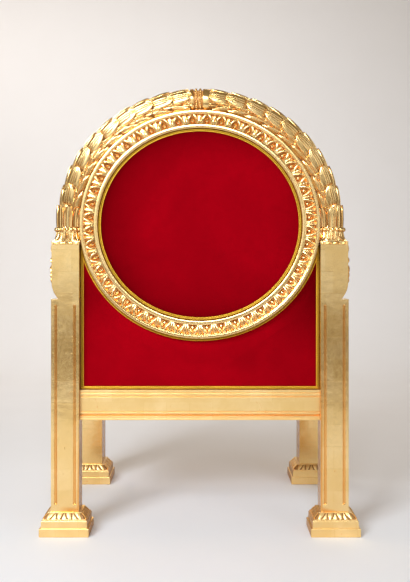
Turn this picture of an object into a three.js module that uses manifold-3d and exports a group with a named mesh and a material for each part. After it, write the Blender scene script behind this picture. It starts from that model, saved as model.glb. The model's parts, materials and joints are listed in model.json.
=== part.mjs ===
// A gilded throne with a round back: square posts on stepped feet, an oval carved
// frame under a laurel wreath, red velvet upholstery, open arms and a loose cushion.
// Millimetres, +Z up. The sitter faces +Y, the back of the throne faces -Y, and the
// origin is on the floor under the middle of the throne.

import * as THREE from 'three';
import Module from 'manifold-3d';
import { mergeVertices } from 'three/addons/utils/BufferGeometryUtils.js';

const wasm = await Module();
wasm.setup();

// Driving dimensions.
const CLEARANCE = 0.3;              // between pieces that touch

const POST_WIDTH = 101;
const POST_CENTRE_X = 485.5;
const REAR_POST_DEPTH = 78;
const FRONT_LEG_DEPTH = 125;
const FRAME_DEPTH = 798;            // rear face of the posts to front face of the legs
const POST_TOP = 1057;
const LEDGE_Z = 848;                // where the upper block of a rear post begins
const BLOCK_INSET = 1.5;            // outer side of the upper block
const SHOULDER_DEPTH = 26;
const SHOULDER_HEIGHT = 66;
const FLUTE_RADIUS = 6.3;
const FLUTE_OFFSET = 34;            // from the middle of the post
const FLUTE_SINK = 2;               // how far a flute's axis stands outside the face
const FLUTE_BOTTOM = 107;
const FLUTE_TOP = 829;

const FOOT_PROJECTION_X = 38.5;
const FOOT_PROJECTION_Y = 29;
const PLINTH_HEIGHT = 30;
const STEP_TOP = 56;
const FILLET_TOP = 61;
const FOOT_TOP = 82;
const STEP_REACH = 0.82;            // of the plinth's projection
const FILLET_REACH = 0.73;
const BAND_LOW_REACH = 0.68;
const BAND_TOP_REACH = 0.26;
const BAND_RECESS = 6;
const FOOT_LEAVES = 4;              // on each side of a foot

const RAIL_TOP = 517;
const RAIL_BOTTOM = 408;
const RAIL_THICKNESS = 46;
const RAIL_RECESS = 22;             // behind the faces of the posts
const BOARD_THICKNESS = 18;
const CUSHION_HEIGHT = 96;
const CUSHION_HALF_WIDTH = 430;
const CUSHION_FRONT = 392;
const CUSHION_BACK = -325;
const CUSHION_ROUND = 26;

const LEG_TOP = 789;
const LEG_FLUTE_TOP = 754;
const ARM_WIDTH = 84;
const ARM_THICKNESS = 46;
const SCROLL_RADIUS = 35;
const SCROLL_SETBACK = 8;           // of the scroll's middle, behind the front of the legs
const ARM_PAD_WIDTH = 62;
const ARM_PAD_HEIGHT = 26;
const ARM_PAD_BACK = -270;
const ARM_PAD_FRONT = 240;

const RING_CENTRE_Z = 1118;
const RING_OPENING_X = 370;         // half axes of the opening for the upholstery
const RING_OPENING_Z = 348;
const RING_WIDTH = 64.7;
const RING_DEPTH = 72;
const RING_LEAVES = 48;
const INNER_FILLET = 17;            // width of the plain moulding at the opening
const LEAF_BAND_END = 51;           // where the leaves meet the outer fillet
const OUTER_FILLET_START = 53;
const PAD_RECESS = 18;              // of the rear velvet, behind the posts
const PAD_DOME = 5;
const PAD_SPLIT = 36;               // where the two pads meet
const FRONT_PAD_RECESS = 10;
const FRONT_PAD_DOME = 12;
const BRAID_WIDTH = 12;
const BRAID_THICKNESS = 3;
const PANEL_RECESS = 40;
const PANEL_THICKNESS = 30;
const PANEL_CORNER_Z = 1050;
const PANEL_ARC_GAP = 1.2;          // from the panel's faceted arc to the oval frame

const WREATH_RADIUS_FOOT = 43;
const WREATH_RADIUS_TOP = 40;
const WREATH_GAP = 0.4;             // to the oval frame
const WREATH_ROWS = 9;
const LEAF_RELIEF = 8;
const CALYX_ANGLE = 7.5;            // degrees above the level of the oval's centre
const BINDING_ANGLE = 4.1;          // half the angle that the binding covers
const BINDING_PROUD = 1.5;

const REAR_Y = -FRAME_DEPTH / 2;
const POST_CENTRE_Y = REAR_Y + REAR_POST_DEPTH / 2;
const LEG_CENTRE_Y = -REAR_Y - FRONT_LEG_DEPTH / 2;
const POST_INNER_X = POST_CENTRE_X - POST_WIDTH / 2;
const SPAN_X = POST_INNER_X - CLEARANCE;
const RING_OUTER_X = RING_OPENING_X + RING_WIDTH;
const RING_OUTER_Z = RING_OPENING_Z + RING_WIDTH;

const GILT = { color: 0xe8c680, roughness: 0.32, metalness: 0.9 };
const VELVET = { color: 0xa50014, roughness: 0.95, metalness: 0 };
const BRAID = { color: 0xe8b840, roughness: 0.6, metalness: 0.3 };
const BEECH = { color: 0xa8835a, roughness: 0.7, metalness: 0 };

const throne = new THREE.Group();

// Adds a finished piece to the throne.
function addPiece(name, geometry, finish) {
  const mesh = new THREE.Mesh(geometry, new THREE.MeshStandardMaterial(finish));
  mesh.name = name;
  throne.add(mesh);
  return mesh;
}

// Turns a geometry's faces outward if they point in.
function facedOutward(geometry) {
  const index = geometry.index.array;
  const position = geometry.attributes.position;
  const [a, b, c] = [new THREE.Vector3(), new THREE.Vector3(), new THREE.Vector3()];
  let volume = 0;
  for (let i = 0; i < index.length; i += 3) {
    a.fromBufferAttribute(position, index[i]);
    b.fromBufferAttribute(position, index[i + 1]);
    c.fromBufferAttribute(position, index[i + 2]);
    volume += a.dot(b.cross(c));
  }
  if (volume < 0) {
    index.reverse();
  }
  return geometry;
}

// A surface through rings of points. Each ring closes on itself; the rings either run
// in a loop, or the first and the last are closed by a flat cap. Each four-sided patch
// is split along its shorter diagonal.
function ringSurface(rings, looped) {
  const count = rings[0].length;
  const points = rings.flat();
  const index = [];
  const spans = looped ? rings.length : rings.length - 1;
  for (let i = 0; i < spans; i += 1) {
    const here = i * count;
    const next = ((i + 1) % rings.length) * count;
    for (let j = 0; j < count; j += 1) {
      const k = (j + 1) % count;
      const [a, b, c, d] = [here + j, next + j, next + k, here + k];
      if (points[a].distanceTo(points[c]) <= points[b].distanceTo(points[d])) {
        index.push(a, b, c, a, c, d);
      } else {
        index.push(a, b, d, b, c, d);
      }
    }
  }
  if (!looped) {
    const last = (rings.length - 1) * count;
    for (const ring of [rings[0], rings[rings.length - 1]]) {
      const centre = new THREE.Vector3();
      ring.forEach((point) => centre.addScaledVector(point, 1 / count));
      points.push(centre);
    }
    for (let j = 0; j < count; j += 1) {
      const k = (j + 1) % count;
      index.push(points.length - 2, j, k, points.length - 1, last + k, last + j);
    }
  }
  const geometry = new THREE.BufferGeometry().setFromPoints(points);
  geometry.setIndex(new THREE.BufferAttribute(new Uint32Array(index), 1));
  return facedOutward(geometry);
}

// Makes a solid for joining and cutting out of a closed geometry.
function solidOf(geometry) {
  const bare = new THREE.BufferGeometry();
  bare.setAttribute('position', geometry.attributes.position.clone());
  bare.setIndex(geometry.index);
  const merged = mergeVertices(bare, 1e-4);
  const mesh = new wasm.Mesh({
    numProp: 3,
    vertProperties: new Float32Array(merged.attributes.position.array),
    triVerts: new Uint32Array(merged.index.array),
  });
  return new wasm.Manifold(mesh);
}

// Turns a joined or cut solid back into a geometry.
function geometryOf(solid) {
  const mesh = solid.getMesh();
  const geometry = new THREE.BufferGeometry();
  geometry.setAttribute('position', new THREE.BufferAttribute(mesh.vertProperties, 3));
  geometry.setIndex(new THREE.BufferAttribute(mesh.triVerts, 1));
  return geometry;
}

// A box given by its middle in X and Y, its width and depth, and its bottom and top.
function block(x, y, width, depth, bottom, top) {
  const box = new THREE.BoxGeometry(width, depth, top - bottom);
  return box.translate(x, y, (bottom + top) / 2);
}

// An outline drawn in X and Z, made solid along Y from one depth to another.
function standingPlate(shape, yFrom, yTo, curveSegments = 12) {
  const options = { depth: yTo - yFrom, bevelEnabled: false, curveSegments };
  const plate = new THREE.ExtrudeGeometry(shape, options);
  return plate.rotateX(Math.PI / 2).translate(0, yTo, 0);
}

// ---- Posts, legs and feet ----

// Two round-ended hollows on a face of a post. `outward` is -1 for a rear face.
function flutes(centreX, faceY, outward, top) {
  const length = top - FLUTE_BOTTOM - 2 * FLUTE_RADIUS;
  return [-FLUTE_OFFSET, FLUTE_OFFSET].map((offset) => {
    const capsule = new THREE.CapsuleGeometry(FLUTE_RADIUS, length, 2, 8);
    capsule.rotateX(Math.PI / 2);
    capsule.translate(centreX + offset, faceY + outward * FLUTE_SINK, (top + FLUTE_BOTTOM) / 2);
    return solidOf(capsule);
  });
}

// The rear elevation of a post: its outer side steps in at the ledge and rounds out again above.
function postOutline(side) {
  const outer = POST_WIDTH / 2;
  const shape = new THREE.Shape();
  const steps = 5;
  shape.moveTo(-side * outer, FOOT_TOP + CLEARANCE);
  shape.lineTo(side * outer, FOOT_TOP + CLEARANCE);
  shape.lineTo(side * outer, LEDGE_Z);
  for (let i = 0; i <= steps; i += 1) {
    const up = i / steps;
    const inset = BLOCK_INSET + (SHOULDER_DEPTH - BLOCK_INSET) * (1 - up) ** 2.4;
    shape.lineTo(side * (outer - inset), LEDGE_Z + SHOULDER_HEIGHT * up);
  }
  shape.lineTo(side * (outer - BLOCK_INSET), POST_TOP);
  shape.lineTo(-side * outer, POST_TOP);
  return shape;
}

// The carving on the outer side of the upper block: a rosette over a hanging leaf.
function sideOrnament(side) {
  const rosetteZ = 1030;
  const rosetteRadius = 18;
  const reach = 9;
  const root = 3;
  const rosette = new THREE.CylinderGeometry(rosetteRadius * 0.7, rosetteRadius, reach + root, 12);
  rosette.rotateZ(-side * Math.PI / 2);
  const leaf = new THREE.Shape();
  const lobes = [[12, 978], [25, 968], [18, 954], [23, 942], [14, 928], [16, 917], [7, 908], [0, 898]];
  leaf.moveTo(-lobes[0][0], lobes[0][1]);
  lobes.forEach(([halfWidth, z]) => leaf.lineTo(halfWidth, z));
  lobes.slice(1, -1).reverse().forEach(([halfWidth, z]) => leaf.lineTo(-halfWidth, z));
  const plate = new THREE.ExtrudeGeometry(leaf, { depth: reach, bevelEnabled: false });
  const faceX = side * (POST_CENTRE_X + POST_WIDTH / 2 - BLOCK_INSET);
  rosette.translate(faceX + side * (reach - root) / 2, POST_CENTRE_Y, rosetteZ);
  plate.rotateX(Math.PI / 2).rotateZ(Math.PI / 2);
  plate.translate(side > 0 ? faceX - root : faceX + root - reach, POST_CENTRE_Y, 0);
  return [solidOf(rosette), solidOf(plate)];
}

function rearPost(side) {
  const plate = standingPlate(postOutline(side), REAR_Y, REAR_Y + REAR_POST_DEPTH);
  let post = solidOf(plate.translate(side * POST_CENTRE_X, 0, 0));
  for (const flute of flutes(side * POST_CENTRE_X, REAR_Y, -1, FLUTE_TOP)) {
    post = post.subtract(flute);
  }
  for (const carving of sideOrnament(side)) {
    post = post.add(carving);
  }
  return geometryOf(post);
}

function frontLeg(side) {
  const bottom = FOOT_TOP + CLEARANCE;
  const centreX = side * POST_CENTRE_X;
  let leg = solidOf(block(centreX, LEG_CENTRE_Y, POST_WIDTH, FRONT_LEG_DEPTH, bottom, LEG_TOP));
  for (const flute of flutes(centreX, -REAR_Y, 1, LEG_FLUTE_TOP)) {
    leg = leg.subtract(flute);
  }
  return geometryOf(leg);
}

// One level of a foot's carved band, walking round the four sides of the foot.
// `hollow` sinks the band between the leaves.
function bandLevel(width, depth, reach, z, hollow) {
  const halfX = width / 2 + FOOT_PROJECTION_X * reach;
  const halfY = depth / 2 + FOOT_PROJECTION_Y * reach;
  const corners = [[-halfX, -halfY], [halfX, -halfY], [halfX, halfY], [-halfX, halfY]];
  const level = [];
  corners.forEach(([x, y], corner) => {
    const [nextX, nextY] = corners[(corner + 1) % 4];
    const length = Math.hypot(nextX - x, nextY - y);
    const inward = [-(nextY - y) / length, (nextX - x) / length];
    for (let step = 0; step < 2 * FOOT_LEAVES; step += 1) {
      const t = step / (2 * FOOT_LEAVES);
      const sink = step % 2 === 0 && step > 0 ? hollow : 0;
      level.push(new THREE.Vector3(
        x + (nextX - x) * t + inward[0] * sink,
        y + (nextY - y) * t + inward[1] * sink,
        z,
      ));
    }
  });
  return level;
}

// A stepped foot: plinth, step, fillet and a band of leaves with their tips down.
function foot(centreX, centreY, depth) {
  const tier = (reach, bottom, top) => solidOf(block(
    0,
    0,
    POST_WIDTH + 2 * FOOT_PROJECTION_X * reach,
    depth + 2 * FOOT_PROJECTION_Y * reach,
    bottom,
    top,
  ));
  const bandHeight = FOOT_TOP - FILLET_TOP;
  const band = ringSurface([
    bandLevel(POST_WIDTH, depth, BAND_LOW_REACH, STEP_TOP, 0),
    bandLevel(POST_WIDTH, depth, BAND_LOW_REACH, FILLET_TOP + 1, BAND_RECESS),
    bandLevel(POST_WIDTH, depth, BAND_LOW_REACH * 0.8, FILLET_TOP + bandHeight * 0.45, BAND_RECESS),
    bandLevel(POST_WIDTH, depth, BAND_TOP_REACH, FOOT_TOP, 0),
  ], false);
  const solid = tier(1, 0, PLINTH_HEIGHT)
    .add(tier(STEP_REACH, PLINTH_HEIGHT, STEP_TOP))
    .add(tier(FILLET_REACH, STEP_TOP, FILLET_TOP))
    .add(solidOf(band));
  return geometryOf(solid).translate(centreX, centreY, 0);
}

// ---- Seat ----

// The section of a seat rail: the face has two fillets above a flat fascia and two
// bands below it, parted by narrow grooves. x runs from the face inward, y is height.
function railSection() {
  const grooves = [
    { z: 506.5, width: 5, sink: 2.5 },
    { z: 493.5, width: 5, sink: 3.5 },
    { z: 438, width: 4, sink: 3.5 },
    { z: 426, width: 8, sink: 6 },
    { z: 415, width: 2.5, sink: 2 },
  ];
  const section = new THREE.Shape();
  section.moveTo(RAIL_THICKNESS, RAIL_BOTTOM);
  section.lineTo(RAIL_THICKNESS, RAIL_TOP);
  section.lineTo(0, RAIL_TOP);
  for (const { z, width, sink } of grooves) {
    section.lineTo(0, z + width / 2);
    section.lineTo(sink, z + width / 4);
    section.lineTo(sink, z - width / 4);
    section.lineTo(0, z - width / 2);
  }
  section.lineTo(0, RAIL_BOTTOM);
  return section;
}

// A rail of a given length whose face looks along -Y, centred on X and starting at y = 0.
function rail(length) {
  const geometry = new THREE.ExtrudeGeometry(railSection(), { depth: length, bevelEnabled: false });
  geometry.translate(0, 0, -length / 2);
  return geometry.rotateX(Math.PI / 2).rotateZ(Math.PI / 2);
}

function addRails() {
  const crossLength = 2 * SPAN_X;
  const sideFrom = REAR_Y + REAR_POST_DEPTH + CLEARANCE;
  const sideTo = -REAR_Y - FRONT_LEG_DEPTH - CLEARANCE;
  const sideX = POST_CENTRE_X + POST_WIDTH / 2 - RAIL_RECESS;
  const rear = addPiece('seat_rail_rear', rail(crossLength), GILT);
  rear.position.y = REAR_Y + RAIL_RECESS;
  const front = addPiece('seat_rail_front', rail(crossLength), GILT);
  front.rotation.z = Math.PI;
  front.position.y = -REAR_Y - RAIL_RECESS;
  for (const [name, side] of [['left', -1], ['right', 1]]) {
    const piece = addPiece(`seat_rail_${name}`, rail(sideTo - sideFrom), GILT);
    piece.rotation.z = side * Math.PI / 2;
    piece.position.set(side * sideX, (sideFrom + sideTo) / 2, 0);
  }
}

// The board that closes the seat frame, notched round the posts and the legs.
function seatBoard() {
  const wide = POST_CENTRE_X + POST_WIDTH / 2 - RAIL_RECESS - RAIL_THICKNESS - CLEARANCE;
  const deep = -REAR_Y - RAIL_RECESS - RAIL_THICKNESS - CLEARANCE;
  const rearNotch = REAR_Y + REAR_POST_DEPTH + CLEARANCE;
  const frontNotch = -REAR_Y - FRONT_LEG_DEPTH - CLEARANCE;
  const half = [[SPAN_X, -deep], [SPAN_X, rearNotch], [wide, rearNotch]];
  half.push([wide, frontNotch], [SPAN_X, frontNotch], [SPAN_X, deep]);
  const mirrored = half.map(([x, y]) => [-x, y]).reverse();
  const outline = new THREE.Shape([...half, ...mirrored].map(([x, y]) => new THREE.Vector2(x, y)));
  const options = { depth: BOARD_THICKNESS, bevelEnabled: false };
  const board = new THREE.ExtrudeGeometry(outline, options);
  return board.translate(0, 0, RAIL_TOP - BOARD_THICKNESS);
}

// A pillow of rounded rectangles stacked in height.
function cushionBody(width, depth, height, round) {
  const levels = [[0, 0.5], [0.16, 0], [0.84, 0], [1, 0.5]];
  const rings = levels.map(([share, inset]) => {
    const ring = [];
    for (let i = 0; i < 12; i += 1) {
      const corner = Math.floor(i / 3);
      const turn = (corner + (i % 3) / 2) * Math.PI / 2;
      const signX = corner === 0 || corner === 3 ? 1 : -1;
      const signY = corner < 2 ? 1 : -1;
      const x = signX * (width / 2 - round) + (round - inset * round) * Math.cos(turn);
      const y = signY * (depth / 2 - round) + (round - inset * round) * Math.sin(turn);
      ring.push(new THREE.Vector3(x, y, share * height));
    }
    return ring;
  });
  return ringSurface(rings, false);
}

function addSeat() {
  addRails();
  addPiece('seat_board', seatBoard(), BEECH);
  const depth = CUSHION_FRONT - CUSHION_BACK;
  const body = cushionBody(2 * CUSHION_HALF_WIDTH, depth, CUSHION_HEIGHT, CUSHION_ROUND);
  const cushion = addPiece('seat_cushion', body, VELVET);
  cushion.position.set(0, (CUSHION_FRONT + CUSHION_BACK) / 2, RAIL_TOP + CLEARANCE);
}

// ---- Arms ----

// Side view of an arm: a straight bar that ends in a round scroll at the front.
function armProfile() {
  const bottom = LEG_TOP + CLEARANCE;
  const top = bottom + ARM_THICKNESS;
  const scrollY = -REAR_Y - SCROLL_SETBACK;
  const scrollZ = top - SCROLL_RADIUS;
  const meet = Math.asin((scrollZ - bottom) / SCROLL_RADIUS);
  const profile = new THREE.Shape();
  profile.moveTo(REAR_Y + REAR_POST_DEPTH + CLEARANCE, bottom);
  profile.lineTo(scrollY, bottom);
  profile.absarc(scrollY, scrollZ, SCROLL_RADIUS, -meet, Math.PI / 2, false);
  profile.lineTo(REAR_Y + REAR_POST_DEPTH + CLEARANCE, top);
  return profile;
}

function addArms() {
  const options = { depth: ARM_WIDTH, bevelEnabled: false, curveSegments: 12 };
  const padZ = LEG_TOP + ARM_THICKNESS + 2 * CLEARANCE;
  const padLength = ARM_PAD_FRONT - ARM_PAD_BACK;
  for (const [name, side] of [['left', -1], ['right', 1]]) {
    const bar = new THREE.ExtrudeGeometry(armProfile(), options);
    bar.rotateX(Math.PI / 2).rotateZ(Math.PI / 2);
    const arm = addPiece(`arm_${name}`, bar, GILT);
    arm.position.x = side * POST_CENTRE_X - ARM_WIDTH / 2;
    const body = cushionBody(ARM_PAD_WIDTH, padLength, ARM_PAD_HEIGHT, ARM_PAD_WIDTH / 4);
    const pad = addPiece(`arm_pad_${name}`, body, VELVET);
    pad.position.set(side * POST_CENTRE_X, (ARM_PAD_FRONT + ARM_PAD_BACK) / 2, padZ);
  }
}

// ---- Back ----

// A point of the oval frame, a given way out from its opening and behind its rear face.
function ringPoint(angle, out, depth) {
  return new THREE.Vector3(
    (RING_OPENING_X + out) * Math.cos(angle),
    REAR_Y + depth,
    RING_CENTRE_Z + (RING_OPENING_Z + out) * Math.sin(angle),
  );
}

// The section of the oval frame, from the front of the opening round by the rear face.
// `out` is measured from the opening. `leaf` and `hollow` are depths behind the rear
// face, on a leaf and between two, and `spread` is half a leaf's width in leaf pitches.
const RING_SECTION = [
  { out: 0, leaf: RING_DEPTH, hollow: RING_DEPTH, spread: 0.3 },
  { out: 0, leaf: 14, hollow: 14, spread: 0.3 },
  { out: INNER_FILLET / 2, leaf: 8, hollow: 8, spread: 0.2 },
  { out: INNER_FILLET, leaf: 12, hollow: 24, spread: 0.1 },
  { out: (INNER_FILLET + LEAF_BAND_END) / 2, leaf: 6, hollow: 19, spread: 0.26 },
  { out: LEAF_BAND_END, leaf: 4, hollow: 8, spread: 0.4 },
  { out: OUTER_FILLET_START, leaf: 0, hollow: 0, spread: 0.34 },
  { out: RING_WIDTH, leaf: 0, hollow: 0, spread: 0.34 },
  { out: RING_WIDTH, leaf: RING_DEPTH, hollow: RING_DEPTH, spread: 0.34 },
];

// The oval frame. Its rear face has a rounded inner fillet, a hollow band of pointed
// leaves with their tips toward the opening, and a flat outer fillet.
function ovalFrame() {
  const pitch = 2 * Math.PI / RING_LEAVES;
  const rings = [];
  for (let unit = 0; unit < RING_LEAVES; unit += 1) {
    const middle = unit * pitch;
    rings.push(RING_SECTION.map(({ out, hollow }) => ringPoint(middle - pitch / 2, out, hollow)));
    for (const edge of [-1, 1]) {
      rings.push(RING_SECTION.map(({ out, leaf, spread }) => (
        ringPoint(middle + edge * spread * pitch, out, leaf)
      )));
    }
  }
  return ringSurface(rings, true);
}

// An oval pad with a flat rim and a gentle dome, facing -Y when `outward` is -1.
function ovalPad(faceY, backY, dome, outward) {
  const halfX = RING_OPENING_X - CLEARANCE;
  const halfZ = RING_OPENING_Z - CLEARANCE;
  const rim = 1 - BRAID_WIDTH / RING_OPENING_Z;
  const rings = [[1, backY], [1, faceY], [rim, faceY], [0.5, faceY + outward * dome]];
  const segments = 40;
  return ringSurface(rings.map(([share, y]) => {
    const ring = [];
    for (let i = 0; i < segments; i += 1) {
      const angle = (i / segments) * 2 * Math.PI;
      const x = halfX * share * Math.cos(angle);
      ring.push(new THREE.Vector3(x, y, RING_CENTRE_Z + halfZ * share * Math.sin(angle)));
    }
    return ring;
  }), false);
}

// The flat braid round the rear velvet.
function ovalBraid() {
  const shape = new THREE.Shape();
  shape.absellipse(0, RING_CENTRE_Z, RING_OPENING_X - 1, RING_OPENING_Z - 1, 0, 2 * Math.PI, false);
  const hole = new THREE.Path();
  const holeX = RING_OPENING_X - BRAID_WIDTH;
  hole.absellipse(0, RING_CENTRE_Z, holeX, RING_OPENING_Z - BRAID_WIDTH, 0, 2 * Math.PI, true);
  shape.holes.push(hole);
  const backY = REAR_Y + PAD_RECESS - CLEARANCE;
  return standingPlate(shape, backY - BRAID_THICKNESS, backY, 20);
}

// The outline between the posts, the rear rail and the oval frame, moved in by `inset`.
// Its upper corners are cut off level where the frame comes close to the posts, or end
// in a point where the sides meet the arc.
function panelOutline(inset) {
  const halfX = SPAN_X - inset;
  const bottom = RAIL_TOP + CLEARANCE + inset;
  const arcX = RING_OUTER_X + PANEL_ARC_GAP + inset;
  const arcZ = RING_OUTER_Z + PANEL_ARC_GAP + inset;
  const pointed = Math.acos(halfX / arcX);
  const level = Math.asin((RING_CENTRE_Z - PANEL_CORNER_Z) / arcZ);
  const start = Math.max(pointed, level);
  const cornerZ = RING_CENTRE_Z - arcZ * Math.sin(start);
  const outline = new THREE.Shape();
  outline.moveTo(-halfX, bottom);
  outline.lineTo(halfX, bottom);
  outline.lineTo(halfX, cornerZ);
  outline.absellipse(0, RING_CENTRE_Z, arcX, arcZ, -start, start - Math.PI, true);
  outline.lineTo(-halfX, cornerZ);
  return outline;
}

function addBack() {
  addPiece('back_ring', ovalFrame(), GILT);
  const splitY = REAR_Y + PAD_SPLIT;
  const rearPad = ovalPad(REAR_Y + PAD_RECESS, splitY, PAD_DOME, -1);
  addPiece('oval_pad_rear', rearPad, VELVET);
  const frontFace = REAR_Y + RING_DEPTH - FRONT_PAD_RECESS;
  addPiece('oval_pad_front', ovalPad(frontFace, splitY + CLEARANCE, FRONT_PAD_DOME, 1), VELVET);
  addPiece('oval_braid', ovalBraid(), BRAID);
  const panelY = REAR_Y + PANEL_RECESS;
  const panel = standingPlate(panelOutline(0), panelY, panelY + PANEL_THICKNESS, 24);
  addPiece('lower_panel', panel, VELVET);
  const loop = panelOutline(0);
  loop.holes.push(panelOutline(BRAID_WIDTH));
  const braidY = panelY - CLEARANCE;
  addPiece('lower_panel_braid', standingPlate(loop, braidY - BRAID_THICKNESS, braidY, 24), BRAID);
}

// ---- Wreath ----

// Half axes of the wreath's middle line.
const WREATH_X = RING_OUTER_X + WREATH_GAP + WREATH_RADIUS_FOOT;
const WREATH_Z = RING_OUTER_Z + WREATH_GAP + WREATH_RADIUS_TOP;

// The columns of a wreath section, in degrees from outward by way of the rear. Each of
// the lanes is one leaf wide: three with four columns at the rear, the middle one the
// widest, and three plainer ones at the front. `place` is 0 in the middle of a leaf and
// 1 at its edges.
function sectionColumns() {
  const lanes = [[-150, -112, 2], [-112, -48, 2], [-48, 0, 2], [0, 48, 4], [48, 112, 4], [112, 150, 4]];
  const columns = [];
  for (const [start, end, count] of lanes) {
    for (let i = 0; i < count; i += 1) {
      const turn = THREE.MathUtils.lerp(start, end, i / count);
      columns.push({ turn, place: Math.abs(1 - 2 * i / count) });
    }
  }
  columns.push({ turn: 150, place: 1 });
  return columns;
}

// A point of the wreath's surface at an angle round the arch. `turn` goes round the
// section, whose side toward the oval frame is squarer, and `radius` is its size.
function wreathPoint(side, angle, turn, radius) {
  const normal = new THREE.Vector2(Math.cos(angle) / WREATH_X, Math.sin(angle) / WREATH_Z);
  normal.normalize();
  const power = Math.cos(turn) < 0 ? 0.77 : 1;
  const out = Math.sign(Math.cos(turn)) * Math.abs(Math.cos(turn)) ** power * radius;
  const rear = Math.sign(Math.sin(turn)) * Math.abs(Math.sin(turn)) ** power * radius;
  return new THREE.Vector3(
    side * (WREATH_X * Math.cos(angle) + normal.x * out),
    POST_CENTRE_Y - rear,
    RING_CENTRE_Z + WREATH_Z * Math.sin(angle) + normal.y * out,
  );
}

// The radius of the wreath's thickest section at an angle round the arch.
function wreathRadius(angle) {
  return THREE.MathUtils.lerp(WREATH_RADIUS_FOOT, WREATH_RADIUS_TOP, angle / (Math.PI / 2));
}

// The sections below the leaves: a skirt that spreads to the post, and a bead.
function skirtSections(side) {
  const outerReach = POST_CENTRE_X + POST_WIDTH / 2 - 1 - WREATH_X;
  const innerReach = WREATH_RADIUS_FOOT;
  const rearReach = REAR_POST_DEPTH / 2;
  const levels = [
    { z: POST_TOP + CLEARANCE, spread: 1 },
    { z: POST_TOP + 5, spread: 1 },
    { z: POST_TOP + 18, spread: 0.45 },
    { z: POST_TOP + 37, spread: 0 },
    { z: POST_TOP + 41, spread: 0.16 },
    { z: POST_TOP + 49, spread: 0.16 },
    { z: POST_TOP + 54, spread: 0 },
  ];
  const neck = WREATH_RADIUS_FOOT - LEAF_RELIEF / 2;
  return levels.map(({ z, spread }) => sectionColumns().map(({ turn }) => {
    const bearing = THREE.MathUtils.degToRad(turn);
    const [across, along] = [Math.cos(bearing), Math.sin(bearing)];
    const square = 1 / Math.max(Math.abs(across), Math.abs(along));
    const boxX = across * square * (across > 0 ? outerReach : innerReach);
    const boxY = along * square * rearReach;
    const x = THREE.MathUtils.lerp(neck * across, boxX, spread);
    const y = THREE.MathUtils.lerp(neck * along, boxY, spread);
    return new THREE.Vector3(side * (WREATH_X + x), POST_CENTRE_Y - y, z);
  }));
}

// The cup of upright leaves that the laurel grows from, then the rows of laurel leaves.
// Each row has three sections: its root, its crown and its free tips, and the tips reach
// farthest in the middle of a leaf.
function leafSections(side) {
  const start = THREE.MathUtils.degToRad(CALYX_ANGLE);
  const end = Math.PI / 2 - THREE.MathUtils.degToRad(BINDING_ANGLE + 0.04);
  const pitch = (end - start) / WREATH_ROWS;
  const section = (angle, tipReach, middleRise, edgeRise) => sectionColumns().map((column) => {
    const share = THREE.MathUtils.smoothstep(column.place, 0, 1);
    const shifted = Math.min(angle + tipReach * (0.5 - share) * pitch, end);
    const rise = THREE.MathUtils.lerp(middleRise, edgeRise, share);
    const radius = wreathRadius(angle) - LEAF_RELIEF + rise;
    return wreathPoint(side, shifted, THREE.MathUtils.degToRad(column.turn), radius);
  });
  const sections = [section(0, 0, 1, 0), section(start * 0.8, 0.3, 6, 3)];
  sections.push(section(start * 0.97, 0.5, LEAF_RELIEF, 4));
  for (let row = 0; row < WREATH_ROWS; row += 1) {
    const root = start + row * pitch;
    const last = row === WREATH_ROWS - 1;
    sections.push(section(root, 0.5, 0, 0));
    sections.push(section(root + pitch * 0.5, 0.5, LEAF_RELIEF - 1, 2));
    sections.push(section(root + pitch * 0.97, last ? 0 : 0.5, LEAF_RELIEF, last ? LEAF_RELIEF : 3));
  }
  return sections;
}

// The band tied round the top: a plain strip at each side and two rows of beads.
function binding() {
  const half = THREE.MathUtils.degToRad(BINDING_ANGLE);
  const columns = 20;
  const strip = BINDING_PROUD;
  const levels = [[-1, strip, 0], [-0.62, strip, 0], [-0.58, -3, 0], [-0.28, -1, 2], [0, -4, 0]];
  levels.push([0.28, -1, 2], [0.58, -3, 0], [0.62, strip, 0], [1, strip, 0]);
  const inward = wreathRadius(Math.PI / 2) / (wreathRadius(Math.PI / 2) + BINDING_PROUD);
  return ringSurface(levels.map(([across, rise, bead]) => {
    const ring = [];
    for (let i = 0; i < columns; i += 1) {
      const turn = ((i + 0.5) / columns) * 2 * Math.PI;
      const lump = i % 2 === 0 ? bead : -bead;
      const radius = wreathRadius(Math.PI / 2) + rise + lump;
      const squeeze = Math.cos(turn) < 0 ? inward : 1;
      ring.push(wreathPoint(1, Math.PI / 2 - across * half, turn, radius * squeeze));
    }
    return ring;
  }), false);
}

function addWreath() {
  for (const [name, side] of [['left', -1], ['right', 1]]) {
    const sections = [...skirtSections(side), ...leafSections(side)];
    addPiece(`wreath_${name}`, ringSurface(sections, false), GILT);
  }
  addPiece('wreath_binding', binding(), GILT);
}

function addPostsAndFeet() {
  for (const [name, side] of [['left', -1], ['right', 1]]) {
    const x = side * POST_CENTRE_X;
    addPiece(`rear_post_${name}`, rearPost(side), GILT);
    addPiece(`front_leg_${name}`, frontLeg(side), GILT);
    addPiece(`foot_rear_${name}`, foot(x, POST_CENTRE_Y, REAR_POST_DEPTH), GILT);
    addPiece(`foot_front_${name}`, foot(x, LEG_CENTRE_Y, FRONT_LEG_DEPTH), GILT);
  }
}

addPostsAndFeet();
addSeat();
addArms();
addBack();
addWreath();

export default throne;
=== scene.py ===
import json
import math

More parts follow.
